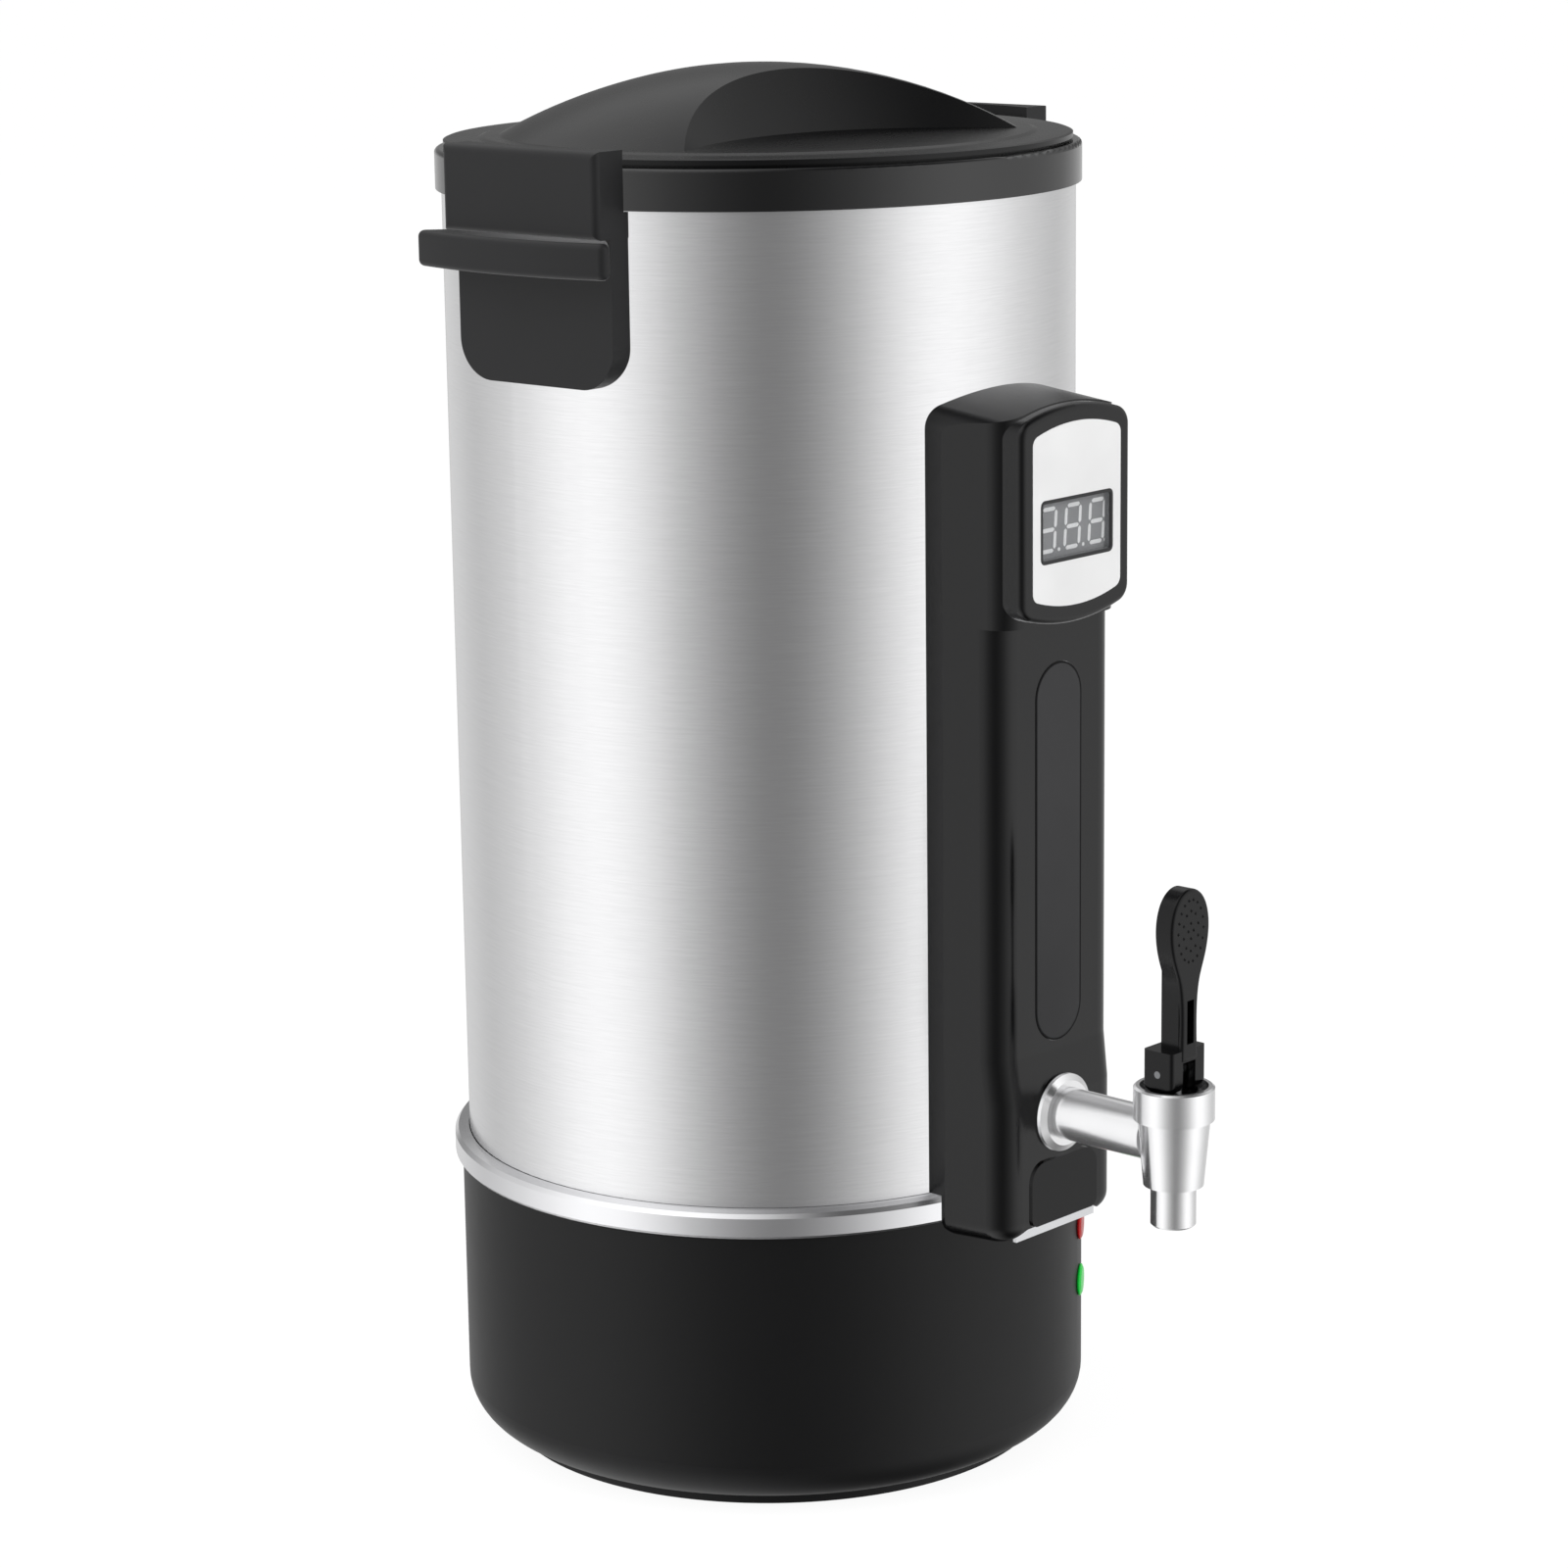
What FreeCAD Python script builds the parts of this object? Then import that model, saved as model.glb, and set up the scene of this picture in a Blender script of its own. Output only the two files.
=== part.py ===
"""Candle wax melter: a 10 litre heated urn with a lever tap, as separate pieces.

Millimetres.  +Z is up, the origin is the centre of the underside, the tap points to -Y and the
two side handles lie on the X axis.  The driving sizes are cells of the sheet "Sizes"; every
formula below is written over their names and bound to the pieces with setExpression.
"""
import FreeCAD
import Part
import math
import os
import re
import Sketcher

# ------------------------------------------------------------------ driving sizes

SIZES = {
    # general clearances
    "fit": 0.3,
    "running_gap": 0.05,
    "pilot_gap": 0.05,
    # base tub and what closes it
    "tub_margin": 2.7,
    "tub_wall": 2.5,
    "tub_height": 102.5,
    "tub_corner": 14.5,
    "tub_flange_inset": 26,
    "spigot_height": 6,
    "cover_inset": 12,
    "cover_thickness": 4,
    "cover_screw_inset": 18,
    "cover_boss_radius": 4.6,
    "cover_boss_height": 10,
    "pad_circle": 68,
    "pad_radius": 9,
    "pad_thickness": 2,
    # screws
    "screw_radius": 2,
    "head_radius": 3.8,
    "head_height": 2.2,
    "screw_length": 13,
    # trim ring, shell, pot, collar
    "ring_margin": 5.3,
    "ring_height": 9.5,
    "shell_radius": 110,
    "shell_wall": 0.8,
    "shell_height": 357,
    "pot_inset": 10,
    "pot_wall": 1.2,
    "pot_depth": 336.7,
    "pot_corner": 6,
    "sleeve_thickness": 2,
    "sleeve_start": 30,
    "sleeve_end": 20,
    "collar_margin": 2.1,
    "collar_web": 2.8,
    "collar_skirt": 9.8,
    "collar_lip": 6.5,
    # heater stack under the pot
    "plate_radius": 72,
    "plate_thickness": 8,
    "element_circle": 50,
    "element_radius": 3.4,
    "element_sweep": 300,
    "element_tail": 14,
    "retainer_radius": 64,
    "retainer_thickness": 1.5,
    "stud_radius": 3,
    "nut_height": 5,
    "nut_radius": 5.8,
    "cutout_radius": 8,
    "cutout_height": 10,
    "cutout_circle": 30,
    "probe_radius": 2.5,
    "probe_length": 18,
    "probe_azimuth": 28,
    # side handles
    "handle_depth": 10,
    "handle_half_width": 35,
    "handle_block_height": 28.5,
    "handle_above_collar": 6,
    "flap_proud": 3.2,
    "flap_half_width": 34.8,
    "flap_height": 50,
    "flap_corner": 14,
    "wing_overhang": 20.5,
    "wing_curve": 167,
    "wing_corner": 2.6,
    "wing_round": 2.2,
    "wing_thickness": 12,
    "handle_round": 2.5,
    "handle_screw_spacing": 36,
    "handle_turn": 1.85,
    # lid
    "lid_inset": 1,
    "lid_gap": 0.9,
    "lid_edge": 2,
    "lid_rise": 2.5,
    "lid_wall": 2.5,
    "seat_inset": 4.5,
    "seat_width": 6.5,
    "dome_inset": 16,
    "dome_rise": 24,
    "dome_curve": 185.3,
    "ridge_half_width": 19.8,
    "scoop_radius": 124.5,
    "scoop_draft": 13,
    "lid_turn": -11.7,
    "liner_inset": 13,
    "liner_wall": 1.5,
    "liner_depth": 11.5,
    "liner_flange_inset": 7.5,
    "gasket_height": 4,
    "lid_boss_circle": 62,
    "lid_boss_radius": 4.2,
    # control column
    "column_drop": 5.1,
    "column_height": 290.2,
    "column_depth": 24,
    "column_half_width": 34,
    "column_taper": 0.1875,
    "column_corner": 10,
    "column_arch": 95,
    "column_tilt": 6.4,
    "column_shoulder": 8,
    "column_foot_round": 7,
    "column_wall": 2.5,
    "foot_swell": 2,
    "swell_rise_low": 43.5,
    "swell_rise_high": 59.5,
    "foot_relief": 4,
    "notch_half_width": 26,
    "notch_height": 4,
    "head_step": 3,
    "head_step_drop": 36.4,
    "display_depth": 8,
    "rim_half_width": 28.5,
    "rim_drop": 40.2,
    "rim_half_height": 36.6,
    "rim_arc": 85,
    "rim_corner": 6.5,
    "column_screw_spacing": 40,
    "column_screw_rise_low": 87.5,
    "column_screw_drop": 51.7,
    "column_boss_radius": 4.2,
    # display
    "label_half_width": 23,
    "label_offset": 0.3,
    "label_half_height": 30.7,
    "label_arc": 70,
    "label_corner": 3.5,
    "label_thickness": 0.8,
    "window_half_width": 18.3,
    "window_drop": 4.7,
    "window_half_height": 10,
    "window_corner": 1.2,
    "window_gap": 0.2,
    "module_depth": 8,
    "module_margin": 0.6,
    "board_thickness": 1.6,
    "board_half_width": 22,
    "board_half_height": 29,
    "board_post_radius": 2.8,
    "board_screw_radius": 1.5,
    "board_screw_length": 6,
    # grip inlay, screw cover and bracket on the column
    "inlay_half_width": 12,
    "inlay_rise": 62.5,
    "inlay_height": 131.5,
    "inlay_thickness": 1.3,
    "inlay_proud": 0.3,
    "cover_pad_half_width": 17.5,
    "cover_pad_drop": 0.5,
    "cover_pad_height": 22.3,
    "cover_pad_top_corner": 7,
    "cover_pad_low_corner": 3,
    "cover_pad_thickness": 2.6,
    "cover_pad_proud": 1.2,
    "bracket_half_width": 21,
    "bracket_drop": 5.5,
    "bracket_height": 27,
    "bracket_thickness": 1.5,
    "bracket_screw_rise": 4.5,
    # tap
    "tap_rise": 15.5,
    "tap_distance": 74,
    "pipe_radius": 9,
    "pipe_bore": 5.5,
    "pipe_inset": 20,
    "escutcheon_radius": 13.5,
    "escutcheon_thickness": 2.6,
    "spacer_radius": 12.4,
    "washer_radius": 13,
    "washer_thickness": 2.6,
    "inner_washer_radius": 12.5,
    "tap_nut_height": 6,
    "tap_nut_radius": 14.5,
    "cup_radius": 13.7,
    "cup_top": 19,
    "cup_height": 11.5,
    "cup_bore": 11.6,
    "cup_bore_depth": 9.5,
    "body_top_radius": 12.3,
    "body_low_radius": 10.2,
    "body_drop": 15.6,
    "chamber_radius": 8.5,
    "seat_drop": 11.5,
    "orifice_radius": 4.5,
    "nozzle_radius": 7.7,
    "nozzle_length": 14.3,
    "nozzle_bore": 5.5,
    "spigot_radius": 6,
    "nozzle_spigot": 2.4,
    "bonnet_flange": 3,
    "bonnet_radius": 11.3,
    "bonnet_hub_radius": 8,
    "bonnet_height": 8.2,
    "stem_radius": 3,
    "stem_flange_radius": 5.2,
    "stem_flange": 1.5,
    "seat_cup_radius": 6.6,
    "seat_cup_height": 6,
    "spring_radius": 4.25,
    "spring_wire": 0.45,
    "spring_turns": 5,
    # lever
    "pin_rise": 24.5,
    "pin_radius": 1.25,
    "lever_half_width": 9.3,
    "lever_half_depth": 6.2,
    "lever_foot": 6.5,
    "lever_head": 8,
    "lever_round": 3,
    "lever_corner": 1.6,
    "fork_gap": 0.4,
    "neck_half_width": 4.4,
    "neck_half_depth": 3.6,
    "neck_forward": 1.4,
    "paddle_rise": 44.5,
    "paddle_half_height": 18.5,
    "paddle_half_width": 10.3,
    "paddle_half_depth": 3.4,
    "paddle_forward": 3.2,
    "paddle_round": 1.2,
    "slot_half_width": 1.8,
    "slot_low": 10,
    "slot_high": 25,
    # thermostat, knob and dial, on the +X side of the base
    "knob_level": 52,
    "dial_pad_radius": 24,
    "flat_proud": 3.4,
    "flat_depth": 6.9,
    "shaft_hole_radius": 4,
    "thermostat_radius": 17,
    "thermostat_depth": 22,
    "thermostat_screw_spacing": 28,
    "thermostat_head_sink": 2.4,
    "shaft_radius": 3,
    "shaft_inside": 10,
    "shaft_outside": 12,
    "dial_radius": 23,
    "dial_thickness": 1,
    "knob_gap": 0.4,
    "knob_skirt_radius": 19,
    "knob_skirt": 2.6,
    "knob_radius": 16,
    "knob_depth": 14.4,
    "knob_flutes": 18,
    "flute_radius": 1.6,
    # lamps
    "lamp_azimuth": 32,
    "red_lamp_level": 75,
    "green_lamp_level": 53.6,
    "lens_radius": 5.8,
    "lens_proud": 1.5,
    "lens_neck_radius": 4.5,
    "lamp_hole_radius": 4.8,
    "holder_radius": 6,
    "holder_length": 14,
    # power inlet at the rear
    "inlet_level": 50,
    "inlet_pad_half_width": 29,
    "inlet_pad_half_height": 16,
    "inlet_flange_half_width": 25,
    "inlet_flange_half_height": 11.5,
    "inlet_flange_thickness": 2.5,
    "inlet_body_half_width": 14,
    "inlet_body_half_height": 10.2,
    "inlet_body_depth": 21,
    "inlet_socket_half_width": 12.2,
    "inlet_socket_half_height": 8.3,
    "inlet_socket_depth": 16.5,
    "inlet_pin_spacing": 14,
    "inlet_pin_half_width": 1,
    "inlet_pin_half_height": 2,
    "inlet_pin_offset": 2,
    "inlet_screw_spacing": 40,
    # terminal block on the bottom cover
    "block_half_width": 17,
    "block_half_depth": 9,
    "block_height": 16,
    "block_back": 42,
    "block_hole_radius": 2.4,
}

# Sizes that follow another size by a named margin: radii follow the wall, levels follow the tub.
FOLLOWING = {
    "tub_radius": "shell_radius + tub_margin",
    "tub_flange_radius": "shell_radius - tub_flange_inset",
    "cover_radius": "shell_radius - cover_inset",
    "cover_screw_circle": "shell_radius - cover_screw_inset",
    "ring_radius": "shell_radius + ring_margin",
    "pot_radius": "shell_radius - pot_inset",
    "collar_radius": "shell_radius + collar_margin",
    "collar_opening": "shell_radius - collar_lip",
    "handle_reach": "shell_radius + handle_depth",
    "flap_reach": "shell_radius + flap_proud",
    "wing_reach": "shell_radius + wing_overhang",
    "lid_radius": "shell_radius - lid_inset",
    "seat_radius": "shell_radius - seat_inset",
    "dome_radius": "shell_radius - dome_inset",
    "liner_radius": "shell_radius - liner_inset",
    "liner_flange": "shell_radius - liner_flange_inset",
    "tap_reach": "shell_radius + tap_distance",
    "pipe_inside": "shell_radius - pipe_inset",
    "flat_reach": "shell_radius + flat_proud",
    "column_start": "tub_height - column_drop",
    "bracket_start": "tub_height - bracket_drop",
    "cover_pad_start": "tub_height - cover_pad_drop",
    "inlay_start": "tub_height + inlay_rise",
    "foot_swell_low": "tub_height + swell_rise_low",
    "foot_swell_high": "tub_height + swell_rise_high",
    "head_step_start": "rim_middle - head_step_drop",
    "column_screw_low": "tub_height + column_screw_rise_low",
    "column_screw_high": "label_middle - column_screw_drop",
    "label_middle": "rim_middle + label_offset",
    "rim_middle": "column_start + column_height - rim_drop",
    "window_middle": "label_middle - window_drop",
}

doc = FreeCAD.newDocument("WaxMelter")
sheet = doc.addObject("Spreadsheet::Sheet", "Sizes")
for row, (name, size) in enumerate(SIZES.items(), start=1):
    sheet.set(f"A{row}", name)
    sheet.set(f"B{row}", str(size))
    sheet.setAlias(f"B{row}", name)
doc.recompute()

# ------------------------------------------------------------------ places worked out from the sizes

TUB_INSIDE = "(tub_radius - tub_wall)"
TUB_FLOOR = "(cover_thickness + tub_wall)"
SHELL_INSIDE = "(shell_radius - shell_wall)"
SHELL_TOP = "(tub_height + shell_height)"
POT_OUTSIDE = "(pot_radius + pot_wall)"
POT_RIM = f"({SHELL_TOP} + pot_wall)"
POT_FLOOR = f"({POT_RIM} - pot_depth)"
POT_BASE = f"({POT_FLOOR} - pot_wall)"
COLLAR_TOP = f"({POT_RIM} + collar_web)"
COLLAR_FOOT = f"({SHELL_TOP} - collar_skirt)"
PLATE_FOOT = f"({POT_BASE} - plate_thickness)"
ELEMENT_LEVEL = f"({PLATE_FOOT} - element_radius)"
RETAINER_TOP = f"({PLATE_FOOT} - 2*element_radius)"
RETAINER_FOOT = f"({RETAINER_TOP} - retainer_thickness)"
TAP_LEVEL = f"({POT_FLOOR} + tap_rise)"
COLUMN_FACE = "(shell_radius + column_depth)"
FOOT_FACE = f"({COLUMN_FACE} + foot_swell)"
HEAD_FACE = f"({COLUMN_FACE} + display_depth)"
HEAD_INSIDE = f"({HEAD_FACE} - column_wall)"
COLUMN_INSIDE = f"({COLUMN_FACE} - column_wall)"
COLUMN_TOP = "(column_start + column_height)"
MODULE_BACK = f"({HEAD_INSIDE} - module_depth)"
HANDLE_TOP = f"({COLLAR_TOP} + handle_above_collar)"
HANDLE_BLOCK_FOOT = f"({HANDLE_TOP} - handle_block_height)"
WING_FOOT = f"({HANDLE_BLOCK_FOOT} - wing_thickness)"
HANDLE_SCREW_LEVEL = f"({HANDLE_BLOCK_FOOT} - wing_thickness/2)"
LID_FOOT = f"({COLLAR_TOP} + lid_gap)"
LID_TOP = f"({LID_FOOT} + lid_edge)"
DOME_TOP = f"({LID_TOP} + dome_rise)"
LINER_FOOT = f"({COLLAR_TOP} - liner_depth)"
PIN_LEVEL = f"({TAP_LEVEL} + pin_rise)"
CUP_TOP = f"({TAP_LEVEL} + cup_top)"
CUP_LEDGE = f"({CUP_TOP} - cup_bore_depth)"
BODY_FOOT = f"({TAP_LEVEL} - body_drop)"
SEAT_LEVEL = f"({TAP_LEVEL} - seat_drop)"
STEM_SHOULDER = f"({SEAT_LEVEL} + seat_cup_height)"
BOARD_BACK = f"({MODULE_BACK} - board_thickness)"
COVER_PAD_FACE = f"({FOOT_FACE} + cover_pad_proud)"
COVER_PAD_BACK = f"({COVER_PAD_FACE} - cover_pad_thickness)"
BRACKET_FRONT = f"({COLUMN_INSIDE} + bracket_thickness)"
BRACKET_BACK = COLUMN_INSIDE
BRACKET_SCREW_LEVEL = "(tub_height + bracket_screw_rise)"
HEAD_CLEARANCE = "(head_radius + fit)"
SCREW_HOLE = "(screw_radius + fit)"
PILOT_HOLE = "(screw_radius + pilot_gap)"

UPRIGHT = FreeCAD.Rotation()
TOWARD_TAP = FreeCAD.Rotation(FreeCAD.Vector(1, 0, 0), 90)
TOWARD_REAR = FreeCAD.Rotation(FreeCAD.Vector(1, 0, 0), -90)
TOWARD_RIGHT = FreeCAD.Rotation(FreeCAD.Vector(0, 1, 0), 90)
TOWARD_LEFT = FreeCAD.Rotation(FreeCAD.Vector(0, 1, 0), -90)

CORNERS = (45, 135, 225, 315)
FACE_TOLERANCE = 1e-4


# ------------------------------------------------------------------ small modelling helpers

def written_out(formula):
    """A formula whose following sizes are replaced by the sheet's names that they follow."""
    return re.sub(r"[A-Za-z_]\w*", lambda word: f"({written_out(FOLLOWING[word.group(0)])})"
                  if word.group(0) in FOLLOWING else word.group(0), str(formula))


def bound(formula):
    """A formula over the sheet's names, spelled the way another object refers to them."""
    return re.sub(r"[A-Za-z_]\w*", lambda word: qualified(word.group(0)), written_out(formula))


def qualified(word):
    return f"Sizes.{word}" if word in SIZES else word


def number(formula):
    return float(sheet.evalExpression(written_out(formula)))


def bind(thing, **formulas):
    for prop, formula in formulas.items():
        thing.setExpression(prop, bound(formula))
    return thing


def place(thing, x="0", y="0", z="0", turn=UPRIGHT):
    thing.Placement = FreeCAD.Placement(FreeCAD.Vector(), turn)
    for letter, formula in zip("xyz", (x, y, z)):
        if str(formula) != "0":
            thing.setExpression(f"Placement.Base.{letter}", bound(formula))
    return thing


def cylinder(name, radius, height, turn=UPRIGHT, **at):
    thing = bind(doc.addObject("Part::Cylinder", name), Radius=radius, Height=height)
    return place(thing, turn=turn, **at)


def box(name, x, y, z):
    """A box from three pairs of formulas, low side first."""
    sides = {"Length": x, "Width": y, "Height": z}
    thing = doc.addObject("Part::Box", name)
    bind(thing, **{prop: f"({high}) - ({low})" for prop, (low, high) in sides.items()})
    return place(thing, x=x[0], y=y[0], z=z[0])


def fuse(name, things):
    thing = doc.addObject("Part::MultiFuse", name)
    thing.Shapes = list(things)
    return thing


def cut(name, base, tools):
    thing = doc.addObject("Part::Cut", name)
    thing.Base = base
    thing.Tool = tools[0] if len(tools) == 1 else fuse(f"{name}_tools", tools)
    return thing


def common(name, things):
    thing = doc.addObject("Part::MultiCommon", name)
    thing.Shapes = list(things)
    return thing


def group(name, things):
    thing = doc.addObject("Part::Compound", name)
    thing.Links = list(things)
    return thing


def part_rounded(name, base, radius, chosen):
    """A Part fillet of the edges of base for which chosen(edge) is true."""
    doc.recompute()
    thing = doc.addObject("Part::Fillet", name)
    thing.Base = base
    size = number(radius)
    edges = enumerate(base.Shape.Edges, start=1)
    thing.Edges = [(index, size, size) for index, edge in edges if chosen(edge)]
    return thing


def on_level(axis, formula):
    """True for edges that lie wholly in the plane where the axis has that value."""
    level = number(formula)

    def chosen(edge):
        bounds = edge.BoundBox
        low, high = getattr(bounds, f"{axis}Min"), getattr(bounds, f"{axis}Max")
        return abs(low - level) < FACE_TOLERANCE and abs(high - level) < FACE_TOLERANCE

    return chosen


def along(axis):
    """True for straight edges parallel to the axis."""
    others = [letter for letter in "XYZ" if letter != axis]
    return lambda edge: all(getattr(edge.BoundBox, f"{one}Length") < FACE_TOLERANCE for one in others)


def plane_of(body, role):
    return next(plane for plane in body.Origin.OriginFeatures if plane.Role == role)


def pin_coordinate(sketch, kind, vertex, formula, axis_line):
    """Hold one coordinate of a sketch corner at a formula, whatever its sign."""
    value = number(formula)
    if abs(value) < FACE_TOLERANCE:
        sketch.addConstraint(Sketcher.Constraint("PointOnObject", vertex, 1, axis_line))
        return
    ends = (-1, 1, vertex, 1) if value > 0 else (vertex, 1, -1, 1)
    index = sketch.addConstraint(Sketcher.Constraint(kind, *ends, abs(value)))
    signed = formula if value > 0 else f"-({formula})"
    sketch.setExpression(f"Constraints[{index}]", bound(signed))


def sketched(body, role, corners):
    """A closed polygon on one origin plane, each corner held at two formulas."""
    sketch = body.newObject("Sketcher::SketchObject", f"{body.Name}_outline")
    sketch.AttachmentSupport = [(plane_of(body, role), "")]
    sketch.MapMode = "FlatFace"
    points = [FreeCAD.Vector(number(across), number(up), 0) for across, up in corners]
    count = len(points)
    for index in range(count):
        sketch.addGeometry(Part.LineSegment(points[index], points[(index + 1) % count]))
    for index in range(count):
        sketch.addConstraint(Sketcher.Constraint("Coincident", index, 2, (index + 1) % count, 1))
    for index, (across, up) in enumerate(corners):
        pin_coordinate(sketch, "DistanceX", index, across, -2)
        pin_coordinate(sketch, "DistanceY", index, up, -1)
    return sketch


def revolved(name, corners, turn=UPRIGHT, **at):
    """A body turned about its own Z axis from a (radius, height) outline."""
    body = doc.addObject("PartDesign::Body", name)
    sketch = sketched(body, "XZ_Plane", corners)
    turned = body.newObject("PartDesign::Revolution", f"{name}_turned")
    turned.Profile = sketch
    turned.ReferenceAxis = (sketch, ["V_Axis"])
    turned.Angle = 360
    sketch.Visibility = False
    return place(body, turn=turn, **at)


def padded(name, role, corners, length, **at):
    """A body padded from an outline: along +Z on XY_Plane, -Y on XZ_Plane, +X on YZ_Plane."""
    body = doc.addObject("PartDesign::Body", name)
    sketch = sketched(body, role, corners)
    pad = body.newObject("PartDesign::Pad", f"{name}_pad")
    pad.Profile = sketch
    bind(pad, Length=length)
    sketch.Visibility = False
    return place(body, **at)


def body_rounded(body, radius, chosen):
    """A fillet feature on the edges of a body's last feature for which chosen(edge) is true."""
    doc.recompute()
    last = body.Tip
    names = [f"Edge{index}" for index, edge in enumerate(last.Shape.Edges, start=1) if chosen(edge)]
    fillet = body.newObject("PartDesign::Fillet", f"{body.Name}_round")
    fillet.Base = (last, names)
    bind(fillet, Radius=radius)
    body.Tip = fillet
    return body


def circle_at(radius, height):
    """True for the circular edge of a turned body at that radius and height."""
    wanted_radius, wanted_height = number(radius), number(height)

    def chosen(edge):
        if not isinstance(edge.Curve, Part.Circle):
            return False
        same_radius = abs(edge.Curve.Radius - wanted_radius) < FACE_TOLERANCE
        return same_radius and abs(edge.Curve.Center.z - wanted_height) < FACE_TOLERANCE

    return chosen


def around(circle, angle):
    """The x and y formulas of a point on a circle about the main axis."""
    return {"x": f"({circle})*cos({angle})", "y": f"({circle})*sin({angle})"}


def screw(name, length, radius="screw_radius", head="head_radius", turn=UPRIGHT, **at):
    """A pan head screw: the head below its own origin, the shank above it."""
    corners = [("0", "-head_height"), (f"{head} - 0.6", "-head_height"), (head, "-head_height + 0.8"),
               (head, "0"), (radius, "0"), (radius, length), ("0", length)]
    return revolved(name, corners, turn=turn, **at)


def tube(name, outside, inside, low, high):
    """An upright tube about the main axis."""
    return revolved(name, [(inside, low), (outside, low), (outside, high), (inside, high)])


pieces = {}


def piece(label, thing):
    thing.Label = label
    pieces[label] = thing
    return thing


# ------------------------------------------------------------------ base tub and bottom cover

def make_base_tub():
    """Moulded round base: rounded foot, inner flange, spigot for the shell, flats for fittings."""
    spigot = f"({SHELL_INSIDE} - fit)"
    wall = revolved("tub_wall_body", [
        ("tub_flange_radius", "cover_thickness"),
        ("tub_radius", "cover_thickness"),
        ("tub_radius", "tub_height"),
        (spigot, "tub_height"),
        (spigot, "tub_height + spigot_height"),
        (f"{spigot} - tub_wall", "tub_height + spigot_height"),
        (f"{spigot} - tub_wall", "tub_height - tub_wall"),
        (TUB_INSIDE, "tub_height - 3*tub_wall"),
        (TUB_INSIDE, TUB_FLOOR),
        ("tub_flange_radius", TUB_FLOOR),
    ])
    body_rounded(wall, "tub_corner", circle_at("tub_radius", "cover_thickness"))
    body_rounded(wall, "tub_corner - tub_wall", circle_at(TUB_INSIDE, TUB_FLOOR))
    bosses = [
        cylinder(f"tub_boss_{angle}", "cover_boss_radius", "cover_boss_height + tub_wall/2",
                 z=f"{TUB_FLOOR} - tub_wall/2", **around("cover_screw_circle", angle))
        for angle in CORNERS
    ]
    dial_flat = cylinder("dial_flat", "dial_pad_radius", "flat_depth", turn=TOWARD_RIGHT,
                         x="flat_reach - flat_depth", z="knob_level")
    inlet_flat = box("inlet_flat", ("-inlet_pad_half_width", "inlet_pad_half_width"),
                     ("flat_reach - flat_depth", "flat_reach"),
                     ("inlet_level - inlet_pad_half_height", "inlet_level + inlet_pad_half_height"))
    solid = fuse("tub_solid", [wall, dial_flat, inlet_flat] + bosses)
    pilots = [
        cylinder(f"tub_pilot_{angle}", PILOT_HOLE, "screw_length + 1 - head_height",
                 z="cover_thickness - 1", **around("cover_screw_circle", angle))
        for angle in CORNERS
    ]
    shaft_hole = cylinder("shaft_hole", "shaft_hole_radius", "2*flat_depth", turn=TOWARD_RIGHT,
                          x="flat_reach - 1.5*flat_depth", z="knob_level")
    screw_holes = []
    for side in (-1, 1):
        level = f"knob_level + {side}*thermostat_screw_spacing/2"
        screw_holes.append(cylinder(f"thermostat_hole_{side}", SCREW_HOLE, "2*flat_depth",
                                    turn=TOWARD_RIGHT, x="flat_reach - 1.5*flat_depth", z=level))
        screw_holes.append(cylinder(f"thermostat_sink_{side}", HEAD_CLEARANCE, "flat_depth",
                                    turn=TOWARD_RIGHT, x="flat_reach - thermostat_head_sink", z=level))
        screw_holes.append(cylinder(f"inlet_pilot_{side}", PILOT_HOLE, "2*flat_depth", turn=TOWARD_REAR,
                                    x=f"{side}*inlet_screw_spacing/2", y="flat_reach - 1.5*flat_depth",
                                    z="inlet_level"))
    inlet_hole = box("inlet_hole",
                     ("-inlet_body_half_width - fit", "inlet_body_half_width + fit"),
                     ("flat_reach - 2*flat_depth", "flat_reach + flat_depth"),
                     ("inlet_level - inlet_body_half_height - fit", "inlet_level + inlet_body_half_height + fit"))
    lamp_holes = [
        radial_cylinder(f"lamp_hole_{colour}", "lamp_hole_radius", "4*tub_wall",
                        f"{TUB_INSIDE} - 2*tub_wall", "lamp_azimuth", level)
        for colour, level in (("red", "red_lamp_level"), ("green", "green_lamp_level"))
    ]
    tools = pilots + [shaft_hole, inlet_hole] + screw_holes + lamp_holes + [bracket_pilot("tub_bracket_pilot")]
    return piece("base_tub", cut("base_tub", solid, tools))


def radial_turn(azimuth):
    """The turn that takes Z to the outward direction at an azimuth from -Y toward +X."""
    angle = math.radians(number(azimuth))
    return FreeCAD.Rotation(FreeCAD.Vector(math.cos(angle), math.sin(angle), 0), 90)


def radial_place(distance, azimuth, level):
    return {"x": f"({distance})*sin({azimuth})", "y": f"-({distance})*cos({azimuth})", "z": level}


def radial_cylinder(name, radius, height, distance, azimuth, level):
    """A cylinder that runs outward at an azimuth from a distance to the main axis."""
    return cylinder(name, radius, height, turn=radial_turn(azimuth), **radial_place(distance, azimuth, level))


def bracket_pilot(name):
    """The hole that the bracket's screw cuts its thread in, through the trim ring."""
    return cylinder(name, PILOT_HOLE, "shell_wall + 8", turn=TOWARD_TAP, y="-(shell_radius + fit/2)",
                    z=BRACKET_SCREW_LEVEL)


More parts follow.
